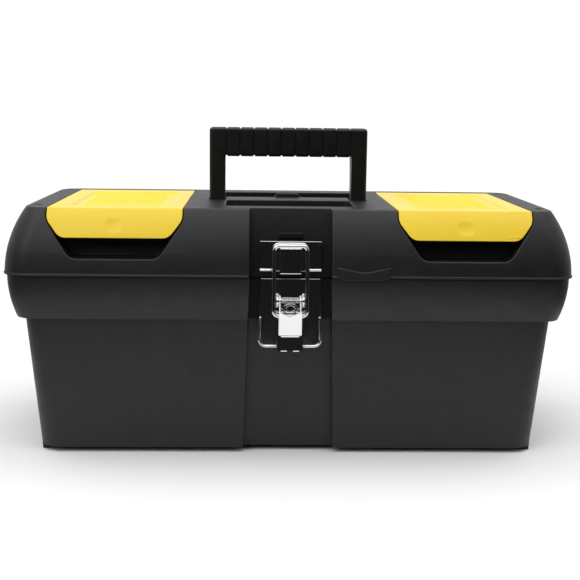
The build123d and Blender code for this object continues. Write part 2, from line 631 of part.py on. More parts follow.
    # finger lift on the lid's lower edge
    lift_left, lift_right = LIFT_X
    with BuildSketch(Plane.XZ.offset(DEPTH / 2 - LIFT_ROOT)):
        with BuildLine():
            Spline(
                (lift_left, SEAM_Z + LIFT_HIGH),
                (lift_left + LIFT_CORNER, SEAM_Z + LIFT_SHOULDER),
                ((lift_left + lift_right) / 2, SEAM_Z + LIFT_LOW),
                (lift_right - LIFT_CORNER, SEAM_Z + LIFT_SHOULDER),
                (lift_right, SEAM_Z + LIFT_HIGH),
            )
            Polyline(
                (lift_right, SEAM_Z + LIFT_HIGH),
                (lift_right, SEAM_Z),
                (lift_right - LIFT_CORNER, SEAM_Z - LIFT_DROP),
                (lift_left + LIFT_CORNER, SEAM_Z - LIFT_DROP),
                (lift_left, SEAM_Z),
                (lift_left, SEAM_Z + LIFT_HIGH),
            )
        make_face()
    extrude(amount=LIFT_ROOT + LIFT_REACH)
    # hinge notches for the tub's knuckles, then the lid's own knuckles
    for side in (-1, 1):
        for end in (-1, 1):
            with Locations(Pos(side * HINGE_X + end * knuckle_span / 2, HINGE_Y, SEAM_Z)):
                Cylinder(
                    HINGE_R + BODY_GAP,
                    HINGE_KNUCKLE + 2 * BODY_GAP,
                    rotation=(0, 90, 0),
                    mode=Mode.SUBTRACT,
                )
        with BuildSketch(
            Plane.YZ.offset(side * HINGE_X - knuckle_span / 2 + HINGE_KNUCKLE / 2 + BODY_GAP)
        ):
            with Locations((HINGE_Y, SEAM_Z)):
                Circle(HINGE_R)
            with BuildLine():
                Polyline(
                    (HINGE_Y - HINGE_R, SEAM_Z),
                    (HINGE_Y + HINGE_R, SEAM_Z),
                    (HINGE_Y - HINGE_R, SEAM_Z + HINGE_BRACKET),
                    close=True,
                )
            make_face()
        extrude(amount=HINGE_LENGTH - 2 * HINGE_KNUCKLE - 2 * BODY_GAP)
        with Locations(Pos(side * HINGE_X, HINGE_Y, SEAM_Z)):
            Cylinder(
                HINGE_PIN_D / 2 + RUNNING, HINGE_LENGTH, rotation=(0, 90, 0), mode=Mode.SUBTRACT
            )

    add(rivet_holes(strike_spots, strike_inner_y), mode=Mode.SUBTRACT)

lid_shell.part.label = "lid_shell"
export_step(lid_shell.part, "parts/lid_shell.step")

# ---------------------------------------------------------------- lid hinge pins
for side, name in ((-1, "left"), (1, "right")):
    with BuildPart() as hinge_pin:
        with Locations(Pos(side * HINGE_X, HINGE_Y, SEAM_Z)):
            Cylinder(HINGE_PIN_D / 2, HINGE_LENGTH, rotation=(0, 90, 0))
        chamfer(hinge_pin.edges(), length=PIN_CHAMFER)
    hinge_pin.part.label = f"lid_hinge_pin_{name}"
    export_step(hinge_pin.part, f"parts/lid_hinge_pin_{name}.step")

# ---------------------------------------------------------------- organizer lids
field_half = ORG_WIDTH / 2 - ORG_FIELD_MARGIN
field_front = COVE_BACK_Y + FIELD_FRONT
field_rear = ORG_AXIS_Y - FIELD_REAR
field_mid = (field_front + field_rear) / 2
field_depth = field_rear - field_front
rib_pitch = field_depth / (ORG_RIBS + 1)
lid_skin = lid_block(ORG_THICK, HEIGHT - ORG_THICK)
thumb_reach = THUMB_RADIUS - THUMB_DEPTH      # from the lip's face out to the ball's middle
thumb_sine = (THUMB_Z - SEAM_Z) / lid_bow     # lean of the lip's face at that height
thumb_cosine = (1 - thumb_sine**2) ** 0.5
thumb_face_y = lid_bow * (1 - thumb_cosine) - DEPTH / 2

with BuildPart() as organizer_right:
    add(lip_prism(lip_face, COVE_BACK_Y))
    with BuildSketch(Plane.XY.offset(HEIGHT - ORG_THICK)):
        with Locations((ORG_MID_X, (COVE_BACK_Y + ORG_AXIS_Y) / 2)):
            Rectangle(ORG_WIDTH, ORG_AXIS_Y - COVE_BACK_Y)
    extrude(amount=ORG_THICK)
    add(lid_skin, mode=Mode.SUBTRACT)
    add(lid_outer, mode=Mode.INTERSECT)
    # stiffer middle that hangs into the compartment below the sunk field
    with BuildSketch(Plane.XY.offset(HEIGHT - ORG_THICK)):
        with Locations((ORG_MID_X, field_mid)):
            Rectangle(2 * field_half + 2, field_depth + 2)
    extrude(amount=-ORG_FIELD_DEPTH + 0.6)
    with BuildSketch(Plane.XY.offset(HEIGHT - ORG_FIELD_DEPTH)):
        with Locations((ORG_MID_X, field_mid)):
            Rectangle(2 * field_half - 3, field_depth - 3)
    extrude(amount=ORG_FIELD_DEPTH + 0.01, taper=-38, mode=Mode.SUBTRACT)
    # ribs across the sunk field
    with BuildSketch(Plane.XY.offset(HEIGHT - ORG_FIELD_DEPTH)):
        with Locations((ORG_MID_X, field_mid)):
            with GridLocations(0, rib_pitch, 1, ORG_RIBS):
                Rectangle(2 * (field_half - RIB_END), RIB_WIDTH)
    extrude(amount=ORG_RIB_HEIGHT)
    # shallow scoop for the thumb
    with Locations(
        (
            ORG_MID_X,
            thumb_face_y - thumb_cosine * thumb_reach,
            THUMB_Z + thumb_sine * thumb_reach,
        )
    ):
        Sphere(THUMB_RADIUS, mode=Mode.SUBTRACT)
    # round rear edge and the stubs it turns on
    with BuildSketch(Plane.YZ.offset(ORG_INNER_X)):
        with Locations((ORG_AXIS_Y, ORG_AXIS_Z)):
            Circle(ORG_KNUCKLE_R)
    extrude(amount=ORG_WIDTH)
    with Locations(Pos(ORG_MID_X, ORG_AXIS_Y, ORG_AXIS_Z)):
        Cylinder(ORG_STUB_D / 2, ORG_WIDTH + 2 * ORG_STUB_LENGTH, rotation=(0, 90, 0))

organizer_right.part.label = "organizer_lid_right"
export_step(organizer_right.part, "parts/organizer_lid_right.step")
organizer_left = mirror(organizer_right.part, about=Plane.YZ)
organizer_left.label = "organizer_lid_left"
export_step(organizer_left, "parts/organizer_lid_left.step")

# ---------------------------------------------------------------- carrying handle
handle_rear = HANDLE_PIVOT_Y + HANDLE_THICK / 2
with BuildPart() as handle:
    with BuildSketch(Plane.XZ.offset(-handle_rear)):
        with Locations((0, (HANDLE_TOP_Z + PIVOT_Z) / 2)):
            RectangleRounded(2 * HANDLE_HALF, HANDLE_TOP_Z - PIVOT_Z, HANDLE_CORNER)
        with Locations((0, PIVOT_Z + HANDLE_THICK / 2)):
            Rectangle(2 * HANDLE_HALF, HANDLE_THICK)
        with Locations((0, HANDLE_TOP_Z - GRIP_HEIGHT)):
            Rectangle(
                2 * (HANDLE_HALF - HANDLE_LEG),
                HANDLE_TOP_Z - GRIP_HEIGHT,
                align=(Align.CENTER, Align.MAX),
                mode=Mode.SUBTRACT,
            )
    extrude(amount=HANDLE_THICK)
    long_edges = handle.edges().filter_by(Axis.X).group_by(Axis.Z)
    fillet(long_edges[-1] + long_edges[-2], radius=HANDLE_ROUND)
    # rounded feet of the legs, turning about the pivot
    for side in (-1, 1):
        with Locations(Pos(side * (HANDLE_HALF - HANDLE_LEG / 2), HANDLE_PIVOT_Y, PIVOT_Z)):
            Cylinder(HANDLE_THICK / 2, HANDLE_LEG, rotation=(0, 90, 0))
    # grooves round the grip
    first = -(GRIP_GROOVES - 1) / 2 * GROOVE_PITCH
    for number in range(GRIP_GROOVES):
        with BuildSketch(Plane.YZ.offset(first + number * GROOVE_PITCH - GROOVE_WIDTH / 2)):
            with Locations((HANDLE_PIVOT_Y, HANDLE_TOP_Z - GRIP_HEIGHT / 2)):
                Rectangle(HANDLE_THICK + 2, GRIP_HEIGHT + 2)
                RectangleRounded(
                    HANDLE_THICK - 2 * GROOVE_DEPTH,
                    GRIP_HEIGHT - 2 * GROOVE_DEPTH,
                    GROOVE_CORNER,
                    mode=Mode.SUBTRACT,
                )
        extrude(amount=GROOVE_WIDTH, mode=Mode.SUBTRACT)
    with Locations(Pos(0, HANDLE_PIVOT_Y, PIVOT_Z)):
        Cylinder(
            HANDLE_PIN_D / 2 + RUNNING, 2 * HANDLE_HALF, rotation=(0, 90, 0), mode=Mode.SUBTRACT
        )

handle.part.label = "handle"
export_step(handle.part, "parts/handle.step")

for side, name in ((-1, "left"), (1, "right")):
    with BuildPart() as handle_pin:
        with Locations(Pos(side * (HANDLE_HALF - HANDLE_LEG / 2), HANDLE_PIVOT_Y, PIVOT_Z)):
            Cylinder(HANDLE_PIN_D / 2, HANDLE_PIN_LENGTH, rotation=(0, 90, 0))
    handle_pin.part.label = f"handle_pin_{name}"
    export_step(handle_pin.part, f"parts/handle_pin_{name}.step")

# ---------------------------------------------------------------- strike plate on the lid
with BuildPart() as strike_plate:
    with BuildSketch(Plane.XZ.offset(-PLATE_BACK_Y)):
        with Locations((0, (STRIKE_Z[0] + STRIKE_Z[1]) / 2)):
            Rectangle(2 * STRIKE_HALF, STRIKE_Z[1] - STRIKE_Z[0])
    extrude(amount=SHEET)
    # flange along the top, turned in towards the lid, and a rolled lip along the bottom
    with BuildSketch(Plane.XY.offset(STRIKE_Z[1] - SHEET)):
        with Locations((0, PLATE_FRONT_Y)):
            Rectangle(2 * STRIKE_HALF, 3.0, align=(Align.CENTER, Align.MIN))
    extrude(amount=SHEET)
    for side in (-1, 1):
        with BuildSketch(Plane.YZ.offset(side * (LOOP_HALF + STRIKE_HALF + BODY_GAP) / 2)):
            with Locations((PLATE_FRONT_Y, STRIKE_Z[0] + 0.8)):
                Circle(0.8)
        extrude(amount=(STRIKE_HALF - LOOP_HALF - BODY_GAP) / 2, both=True)
    # hook: a hollow pressed step that the wire loop catches on
    with BuildSketch(Plane.XY.offset(HOOK_Z[0])):
        with Locations((0, PLATE_FRONT_Y)):
            Rectangle(2 * HOOK_HALF, HOOK_REACH, align=(Align.CENTER, Align.MAX))
    extrude(amount=HOOK_Z[1] - HOOK_Z[0])
    fillet(
        strike_plate.edges().filter_by(Axis.X).sort_by(Axis.Y)[0:2], radius=HOOK_EDGE
    )
    with BuildSketch(Plane.XY.offset(HOOK_Z[0])):
        with Locations((0, PLATE_BACK_Y)):
            Rectangle(
                2 * (HOOK_HALF - SHEET),
                HOOK_REACH,
                align=(Align.CENTER, Align.MAX),
            )
    extrude(amount=HOOK_Z[1] - HOOK_Z[0] - SHEET, mode=Mode.SUBTRACT)
    with BuildSketch(Plane.XZ.offset(-PLATE_BACK_Y)):
        with Locations((0, (STRIKE_Z[0] + HOOK_Z[1]) / 2)):
            Rectangle(2 * HOOK_HALF, HOOK_Z[1] - STRIKE_Z[0])
        for z in STRIKE_RIVET_Z:
            with Locations((0, z)):
                Circle(RIVET_D / 2, mode=Mode.SUBTRACT)
    extrude(amount=SHEET)

strike_plate.part.label = "strike_plate"
export_step(strike_plate.part, "parts/strike_plate.step")

# ---------------------------------------------------------------- rivets and washers, written out
for name, spots, inner_y in (
    ("strike", strike_spots, strike_inner_y),
    ("latch_base", base_spots, base_inner_y),
):
    rivets = rivet_group(spots, inner_y)
    rivets.label = f"{name}_rivets"
    export_step(rivets, f"parts/{name}_rivets.step")
    washers = washer_group(spots, inner_y)
    washers.label = f"{name}_washers"
    export_step(washers, f"parts/{name}_washers.step")

# ---------------------------------------------------------------- latch base plate
pivot_y, pivot_z = LEVER_PIVOT


def base_outline(grow):
    """Front outline of the lower plate, wider at its foot, with rounded lower corners."""
    low, high = BASE_HALF
    with BuildSketch() as outline:
        with BuildLine():
            Polyline(
                (-low - grow, BASE_Z[0] - grow),
                (low + grow, BASE_Z[0] - grow),
                (high + grow, BASE_Z[1]),
                (-high - grow, BASE_Z[1]),
                close=True,
            )
        make_face()
        fillet(outline.vertices().group_by(Axis.Y)[0], radius=BASE_CORNER + grow)
    return outline.sketch


with BuildPart() as latch_base_plate:
    with BuildSketch(Plane.XZ.offset(-PLATE_BACK_Y)):
        add(base_outline(0))
        with Locations(*base_spots):
            Circle(RIVET_D / 2, mode=Mode.SUBTRACT)
    extrude(amount=SHEET)
    # rolled edge along the sides and the foot, open where the lever's grip hangs
    with BuildSketch(Plane.XZ.offset(-PLATE_FRONT_Y)):
        add(base_outline(0))
        add(base_outline(-BASE_ROLL), mode=Mode.SUBTRACT)
        with Locations((0, BASE_Z[0])):
            Rectangle(2 * (GRIP_HALF + BODY_GAP), 4 * BASE_ROLL, mode=Mode.SUBTRACT)
        with Locations((0, BASE_ROLL_Z)):
            Rectangle(
                3 * BASE_HALF[0], BASE_Z[1], align=(Align.CENTER, Align.MIN), mode=Mode.SUBTRACT
            )
    extrude(amount=BASE_ROLL)
    fillet(
        latch_base_plate.faces().sort_by(Axis.Y)[0:2].edges(), radius=BASE_ROLL * 0.42
    )
    # lugs for the lever's pin
    for side in (-1, 1):
        middle = side * (LUG_X[0] + LUG_X[1]) / 2
        with BuildSketch(Plane.YZ.offset(middle)):
            with Locations(LEVER_PIVOT):
                Circle(LUG_R)
            with BuildLine():
                Polyline(
                    (PLATE_BACK_Y - SHEET / 2, pivot_z - LUG_R - 1.5),
                    (pivot_y, pivot_z - LUG_R),
                    (pivot_y, pivot_z + LUG_R),
                    (PLATE_BACK_Y - SHEET / 2, pivot_z + LUG_R + 1.5),
                    close=True,
                )
            make_face()
        extrude(amount=(LUG_X[1] - LUG_X[0]) / 2, both=True)
    with Locations(Pos(0, pivot_y, pivot_z)):
        Cylinder(LEVER_PIN_D / 2, 2 * LUG_X[1] + 2, rotation=(0, 90, 0), mode=Mode.SUBTRACT)

latch_base_plate.part.label = "latch_base_plate"
export_step(latch_base_plate.part, "parts/latch_base_plate.step")

with BuildPart() as lever_pin:
    with Locations(Pos(0, pivot_y, pivot_z)):
        Cylinder(LEVER_PIN_D / 2, 2 * LUG_X[1], rotation=(0, 90, 0))
lever_pin.part.label = "latch_lever_pin"
export_step(lever_pin.part, "parts/latch_lever_pin.step")

# ---------------------------------------------------------------- wire loop
loop_radius = LOOP_WIRE_D / 2
loop_half = LOOP_HALF - loop_radius
loop_low = LOOP_Z[0] + loop_radius
loop_high = LOOP_Z[1] - loop_radius

with BuildPart() as wire_loop:
    with BuildLine(Plane.XZ.offset(-LOOP_Y)):
        bend = FilletPolyline(
            (-loop_half, loop_low),
            (loop_half, loop_low),
            (loop_half, loop_high),
            (-loop_half, loop_high),
            radius=LOOP_BEND,
            close=True,
        )
    with BuildSketch(bend ^ 0):
        Circle(loop_radius)
    sweep(transition=Transition.ROUND)

wire_loop.part.label = "wire_loop"
export_step(wire_loop.part, "parts/wire_loop.step")

# ---------------------------------------------------------------- lever
lever_foot_y = LEVER_FRONT_Y + LEVER_LEAN

with BuildPart() as latch_lever:
    for side in (-1, 1):
        middle = side * (CHEEK_X[0] + CHEEK_X[1]) / 2
        with BuildSketch(Plane.YZ.offset(middle)):
            with Locations(LEVER_PIVOT):
                Circle(LEVER_EYE_R)
            with Locations((LOOP_Y, loop_low)):
                Circle(LEVER_EYE_R - 0.3)
            with BuildLine():
                Polyline(
                    (pivot_y + LEVER_EYE_R - 0.7, pivot_z - 1.5),
                    (LOOP_Y + LEVER_EYE_R - 1.0, loop_low - 1.5),
                    (lever_foot_y + SHEET, LEVER_Z[0]),
                    (lever_foot_y + SHEET / 2, LEVER_Z[0]),
                    (LEVER_FRONT_Y + SHEET / 2, LEVER_Z[1]),
                    (pivot_y - LEVER_EYE_R + 0.4, pivot_z + 1),
                    close=True,
                )
            make_face()
        extrude(amount=(CHEEK_X[1] - CHEEK_X[0]) / 2, both=True)
    # finger plate, with a notch in its top edge that bares the staple's eye
    with BuildSketch(Plane.YZ):
        with BuildLine():
            Polyline(
                (LEVER_FRONT_Y, LEVER_Z[1]),
                (LEVER_FRONT_Y + SHEET, LEVER_Z[1]),
                (lever_foot_y + SHEET, LEVER_Z[0]),
                (lever_foot_y, LEVER_Z[0]),
                close=True,
            )
        make_face()
    extrude(amount=LEVER_HALF, both=True)
    with BuildSketch(Plane.XZ.offset(-LEVER_FRONT_Y - 2 * SHEET)):
        with BuildLine():
            Polyline(
                (CHEEK_X[0], LEVER_Z[1] + SHEET),
                (CHEEK_X[0], LEVER_Z[1]),
                (0, LEVER_Z[1] - NOTCH_DEPTH),
                (-CHEEK_X[0], LEVER_Z[1]),
                (-CHEEK_X[0], LEVER_Z[1] + SHEET),
                close=True,
            )
        make_face()
    extrude(amount=3 * SHEET, mode=Mode.SUBTRACT)
    # tail that leans in below the finger plate, inside the grip
    with BuildSketch(Plane.YZ):
        with BuildLine():
            Polyline(
                (lever_foot_y, LEVER_Z[0] + SHEET / 2),
                (lever_foot_y + SHEET, LEVER_Z[0] + SHEET / 2),
                (LEVER_TAIL_Y, LEVER_TAIL_Z),
                (LEVER_TAIL_Y - SHEET, LEVER_TAIL_Z),
                close=True,
            )
        make_face()
    extrude(amount=LEVER_HALF - 1.6, both=True)
    with BuildSketch(Plane.XZ.offset(-LEVER_TAIL_Y + 4)):
        with Locations((0, LEVER_TAIL_Z)):
            Rectangle(TAIL_SLOT, 2 * (GRIP_Z[0] - LEVER_TAIL_Z))
    extrude(amount=-12, mode=Mode.SUBTRACT)
    with Locations(Pos(0, pivot_y, pivot_z)):
        Cylinder(
            LEVER_PIN_D / 2 + RUNNING, 2 * LUG_X[1], rotation=(0, 90, 0), mode=Mode.SUBTRACT
        )
    with Locations(Pos(0, LOOP_Y, loop_low)):
        Cylinder(loop_radius + RUNNING, 2 * LUG_X[1], rotation=(0, 90, 0), mode=Mode.SUBTRACT)

latch_lever.part.label = "latch_lever"
export_step(latch_lever.part, "parts/latch_lever.step")

with BuildPart() as lever_grip:
    with BuildSketch(Plane.YZ):
        with BuildLine():
            Polyline(
                (lever_foot_y, GRIP_Z[1] - GRIP_GAP),
                (lever_foot_y + GRIP_THICK, GRIP_Z[1] - GRIP_GAP),
                (LEVER_TAIL_Y + 1.0, GRIP_Z[0]),
                (LEVER_TAIL_Y - SHEET - 1.2, GRIP_Z[0]),
                close=True,
            )
        make_face()
    extrude(amount=GRIP_HALF, both=True)
    add(latch_lever.part, mode=Mode.SUBTRACT)

lever_grip.part.label = "lever_grip"
export_step(lever_grip.part, "parts/lever_grip.step")

# ---------------------------------------------------------------- padlock staple
with BuildPart() as padlock_staple:
    with BuildSketch(Plane.XZ.offset(-STAPLE_FRONT_Y - STAPLE_STRIP)):
        for half, top in (
            (STAPLE_HALF, STAPLE_TOP_Z),
            (STAPLE_HALF - STAPLE_STRIP, STAPLE_TOP_Z - STAPLE_STRIP),
        ):
            with BuildSketch(mode=Mode.PRIVATE) as arch:
                with Locations((0, (top + STAPLE_FOOT_Z) / 2)):
                    Rectangle(2 * half, top - STAPLE_FOOT_Z)
                fillet(arch.vertices().group_by(Axis.Y)[-1], radius=half * STAPLE_BEND)
            add(arch.sketch, mode=Mode.ADD if half == STAPLE_HALF else Mode.SUBTRACT)
    extrude(amount=STAPLE_STRIP)
    for side in (-1, 1):
        with Locations(
            (
                side * (STAPLE_HALF - STAPLE_STRIP / 2),
                (STAPLE_FRONT_Y + PLATE_FRONT_Y) / 2,
                STAPLE_FOOT_Z + STAPLE_STRIP / 2,
            )
        ):
            Box(STAPLE_STRIP, PLATE_FRONT_Y - STAPLE_FRONT_Y, STAPLE_STRIP)

padlock_staple.part.label = "padlock_staple"
export_step(padlock_staple.part, "parts/padlock_staple.step")

# ---------------------------------------------------------------- tote tray
flange_length = RIM_LENGTH - 2 * (RIM_SETBACK + WALL + TRAY_CLEARANCE)
flange_depth = RIM_DEPTH - 2 * (RIM_SETBACK + WALL + TRAY_CLEARANCE)
tray_rest = STEP_Z + WALL + TRAY_GAP
tray_length = flange_length - 2 * TRAY_INSET
tray_depth = flange_depth - 2 * TRAY_INSET
tray_height = tray_rest + TRAY_FLANGE - TRAY_FLOOR_Z

tray_top = tray_rest + TRAY_FLANGE
tray_inner_corner = TRAY_CORNER - TRAY_WALL
slot_mid_z = TRAY_HANDLE_Z - TRAY_GRIP_HEIGHT - TRAY_SLOT_HEIGHT / 2

with BuildPart() as tote_tray:
    with BuildSketch(Plane.XY.offset(TRAY_FLOOR_Z)):
        RectangleRounded(
            tray_length - 2 * TRAY_TAPER, tray_depth - 2 * TRAY_TAPER, TRAY_CORNER
        )
    with BuildSketch(Plane.XY.offset(tray_top)):
        RectangleRounded(tray_length, tray_depth, TRAY_CORNER)
    loft()
    with BuildSketch(Plane.XY.offset(tray_rest)):
        RectangleRounded(flange_length, flange_depth, TRAY_CORNER)
        with Locations((0, -flange_depth / 2)):
            Rectangle(2 * (RECESS_HALF_BOTTOM + 2 * WALL), TRAY_NOTCH, mode=Mode.SUBTRACT)
    extrude(amount=TRAY_FLANGE)
    with BuildSketch(Plane.XY.offset(TRAY_FLOOR_Z + TRAY_WALL)):
        RectangleRounded(
            tray_length - 2 * (TRAY_TAPER + TRAY_WALL),
            tray_depth - 2 * (TRAY_TAPER + TRAY_WALL),
            tray_inner_corner,
        )
    with BuildSketch(Plane.XY.offset(tray_top)):
        RectangleRounded(
            tray_length - 2 * TRAY_WALL, tray_depth - 2 * TRAY_WALL, tray_inner_corner
        )
    loft(mode=Mode.SUBTRACT)
    # middle wall that rises into the carrying handle, with its finger slot
    with BuildSketch(Plane.XZ.offset(-TRAY_MIDDLE_WALL / 2)):
        with Locations((0, TRAY_FLOOR_Z + tray_height / 2)):
            Rectangle(tray_length - TRAY_TAPER - TRAY_WALL, tray_height - TRAY_WALL / 2)
        with Locations((0, TRAY_HANDLE_Z - (TRAY_HANDLE_Z - tray_rest) / 2 - TRAY_CORNER / 2)):
            RectangleRounded(
                2 * TRAY_HANDLE_HALF, TRAY_HANDLE_Z - tray_rest + TRAY_CORNER, TRAY_CORNER
            )
        with Locations((0, slot_mid_z)):
            SlotOverall(
                2 * (TRAY_HANDLE_HALF - TRAY_SLOT_END), TRAY_SLOT_HEIGHT, mode=Mode.SUBTRACT
            )
    extrude(amount=TRAY_MIDDLE_WALL)
    # cross walls
    for x in (-tray_length / 4, tray_length / 4):
        with BuildSketch(Plane.XY.offset(TRAY_FLOOR_Z + TRAY_WALL / 2)):
            with Locations((x, -tray_depth / 4)):
                Rectangle(TRAY_WALL, tray_depth / 2 - TRAY_WALL)
        extrude(amount=tray_height - TRAY_WALL_DROP)

tote_tray.part.label = "tote_tray"
export_step(tote_tray.part, "parts/tote_tray.step")
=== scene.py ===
import math

import bmesh
import bpy
from mathutils import Matrix, Vector


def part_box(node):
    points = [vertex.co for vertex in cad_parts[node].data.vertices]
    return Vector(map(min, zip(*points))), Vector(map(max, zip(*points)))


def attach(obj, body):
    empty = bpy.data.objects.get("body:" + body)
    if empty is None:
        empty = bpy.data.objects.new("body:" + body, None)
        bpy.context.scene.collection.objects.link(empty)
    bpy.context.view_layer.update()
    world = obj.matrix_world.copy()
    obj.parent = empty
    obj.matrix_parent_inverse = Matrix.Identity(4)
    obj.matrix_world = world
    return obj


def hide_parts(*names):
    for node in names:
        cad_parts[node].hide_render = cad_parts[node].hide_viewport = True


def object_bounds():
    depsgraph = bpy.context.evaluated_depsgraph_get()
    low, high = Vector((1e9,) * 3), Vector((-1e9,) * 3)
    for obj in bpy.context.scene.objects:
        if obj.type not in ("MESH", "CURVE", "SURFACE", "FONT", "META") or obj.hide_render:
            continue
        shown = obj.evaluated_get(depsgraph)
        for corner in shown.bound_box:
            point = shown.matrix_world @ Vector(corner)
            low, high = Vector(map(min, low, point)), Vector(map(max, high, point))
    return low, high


bl_info = {
    "name": "Carpenter Toolbox",
    "version": (1, 0, 0),
    "blender": (4, 5, 0),
    "location": "View3D > Sidebar > Toolbox",
    "description": "Finishes, small details, camera and studio for a moulded carpenter's toolbox",
    "category": "Add Mesh",
}

MM = 0.001
FLOOR_RADIUS = 0.42
FLOOR_SIDES = 96
FLOOR_GAP = 0.1 * MM
WIDEST = 2.4               # widest broken edge, as a share of the plain one
SOFTER = 1.7               # the same for the rims of handle well and parts dish
RECESS_HALF = 28.6 * MM    # half the width of the panel behind the latch
RECESS_REACH = 26 * MM     # how far back that panel leans
STEP_Z = 101.5 * MM        # underside of the tub's rim band
COVE_Z = 145.4 * MM        # lower edge of the finger recesses
MERGE_WITHIN = 0.002 * MM  # corners nearer than this are one
FLAT_WITHIN = math.radians(0.6)
SHELL_EDGE = 0.4 * MM      # broken edge of tub, lid and handle
YELLOW_EDGE = 0.5 * MM     # broken edge of the organizer lids
SHEET_EDGE = 0.3 * MM      # broken edge of the latch's steel sheet
GRIP_EDGE = 0.35 * MM      # broken edge of the lever's grip
OVERHEAD_PLACE = (0.0, -0.15, 1.5)
OVERHEAD_SIZE = (2.2, 1.6)
FRONT_PLACE = (-0.9, -1.5, 1.1)
FRONT_SIZE = (1.0, 0.8)

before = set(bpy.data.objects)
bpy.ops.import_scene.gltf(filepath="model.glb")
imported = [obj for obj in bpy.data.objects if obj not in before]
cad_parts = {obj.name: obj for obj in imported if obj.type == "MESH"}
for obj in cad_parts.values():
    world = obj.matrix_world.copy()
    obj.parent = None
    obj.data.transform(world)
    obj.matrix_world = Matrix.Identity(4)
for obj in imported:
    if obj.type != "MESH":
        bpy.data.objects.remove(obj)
cad_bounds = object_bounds()


# ---------------------------------------------------------------- colours and nodes
def linear(hex_text):
    """An sRGB hex colour as linear red, green, blue and full alpha."""
    values = [int(hex_text[place:place + 2], 16) / 255 for place in (0, 2, 4)]
    return tuple(
        value / 12.92 if value <= 0.04045 else ((value + 0.055) / 1.055) ** 2.4
        for value in values
    ) + (1.0,)


def add_node(tree, kind, sockets=None, **settings):
    """Adds a node, sets its properties, and fills or links the named sockets."""
    node = tree.nodes.new(kind)
    for name, value in settings.items():
        setattr(node, name, value)
    for name, value in (sockets or {}).items():
        socket = node.inputs[name]
        if isinstance(value, bpy.types.NodeSocket):
            tree.links.new(value, socket)
        else:
            socket.default_value = value
    return node


def new_material(name, roughness, metallic=0.0, **sockets):
    """A material with one Principled shader; returns it with its tree and its shader."""
    material = bpy.data.materials.new(name)
    material.use_nodes = True
    tree = material.node_tree
    tree.nodes.clear()
    shader = add_node(tree, "ShaderNodeBsdfPrincipled", {
        "Roughness": roughness, "Metallic": metallic, **sockets,
    })
    add_node(tree, "ShaderNodeOutputMaterial", {"Surface": shader.outputs[0]})
    return material, tree, shader


def grain(tree, coordinates, size, detail=2.0, roughness=0.5):
    """Noise whose features are about size metres across."""
    return add_node(tree, "ShaderNodeTexNoise", {
        "Vector": coordinates, "Scale": 1.0 / size, "Detail": detail, "Roughness": roughness,
    }).outputs["Fac"]


def spread(tree, value, low, high):
    """Carries the middle of a noise to the range from low to high."""
    return add_node(tree, "ShaderNodeMapRange", {
        "Value": value, "From Min": 0.3, "From Max": 0.7, "To Min": low, "To Max": high,
    }).outputs["Result"]


def blended(tree, factor, first, second):
    """Mixes two colours by a factor."""
    mix = add_node(tree, "ShaderNodeMix", data_type="RGBA")
    tree.links.new(factor, mix.inputs[0])
    mix.inputs[6].default_value = first
    mix.inputs[7].default_value = second
    return mix.outputs[2]


def moulded_plastic(name, dark, light, rough, texture_mm, texture_depth_mm, edge_mm):
    """Injection-moulded plastic: even colour, faint flow mottle, fine cavity texture."""
    material, tree, shader = new_material(name, rough)
    place = add_node(tree, "ShaderNodeTexCoord").outputs["Object"]
    mottle = grain(tree, place, 38 * MM, 4.0, 0.6)
    tree.links.new(blended(tree, spread(tree, mottle, 0, 1), dark, light), shader.inputs[0])
    cavity = grain(tree, place, texture_mm * MM, 2.0)
    sheen = grain(tree, place, 9 * MM, 3.0)
    tree.links.new(spread(tree, sheen, rough - 0.04, rough + 0.05), shader.inputs["Roughness"])
    edge = add_node(tree, "ShaderNodeBevel", {"Radius": edge_mm * MM}, samples=6)
    bump = add_node(tree, "ShaderNodeBump", {
        "Height": cavity,
        "Distance": texture_depth_mm * MM,
        "Strength": 0.6,
        "Normal": edge.outputs[0],
    })
    tree.links.new(bump.outputs[0], shader.inputs["Normal"])
    return material


def plated_steel(name, colour, rough, wave_mm, edge_mm):
    """Bright plated steel sheet: mirror-like, with the faint waves of pressed metal."""
    material, tree, shader = new_material(name, rough, 1.0)
    place = add_node(tree, "ShaderNodeTexCoord").outputs["Object"]
    haze = grain(tree, place, 2.5 * MM, 3.0)
    shader.inputs["Base Color"].default_value = colour
    tree.links.new(spread(tree, haze, rough * 0.7, rough * 1.5), shader.inputs["Roughness"])
    edge = add_node(tree, "ShaderNodeBevel", {"Radius": edge_mm * MM}, samples=6)
    bump = add_node(tree, "ShaderNodeBump", {
        "Height": grain(tree, place, wave_mm * MM, 1.0),
        "Distance": 0.05 * MM,
        "Strength": 0.5,
        "Normal": edge.outputs[0],
    })
    tree.links.new(bump.outputs[0], shader.inputs["Normal"])
    return material


def shell_plastic(look):
    """Plastic of tub and lid."""
    # black polypropylene, injection moulded in a spark-eroded tool: satin, lightly grained
    return moulded_plastic(
        "black_polypropylene_moulded", look.shell, look.shell_light, 0.46, 0.8, 0.05, 0.5
    )


def grip_plastic_and_recess_shade(look):
    """Plastic of the lever's grip, and painted shade on the panel behind the latch."""
    # black polypropylene, darker and far less reflective than the shell: the lever grip's own dark
    # plastic, and painted shade on the panel behind the latch
    made = moulded_plastic(
        "black_polypropylene_grip_and_recess_shade", look.handle, look.handle_light, 0.6, 0.6, 0.05, 0.4
    )
    # the low specular level dims the reflections, part of the painted shade in the recess
    made.node_tree.nodes["Principled BSDF"].inputs["Specular IOR Level"].default_value = 0.16
    return made


def handle_plastic(look):
    """Plastic of the carrying handle."""
    # black polypropylene from a smoother tool: deeper black, smooth satin
    return moulded_plastic(
        "black_polypropylene_handle", look.handle, look.handle_light, 0.40, 0.7, 0.03, 0.5
    )


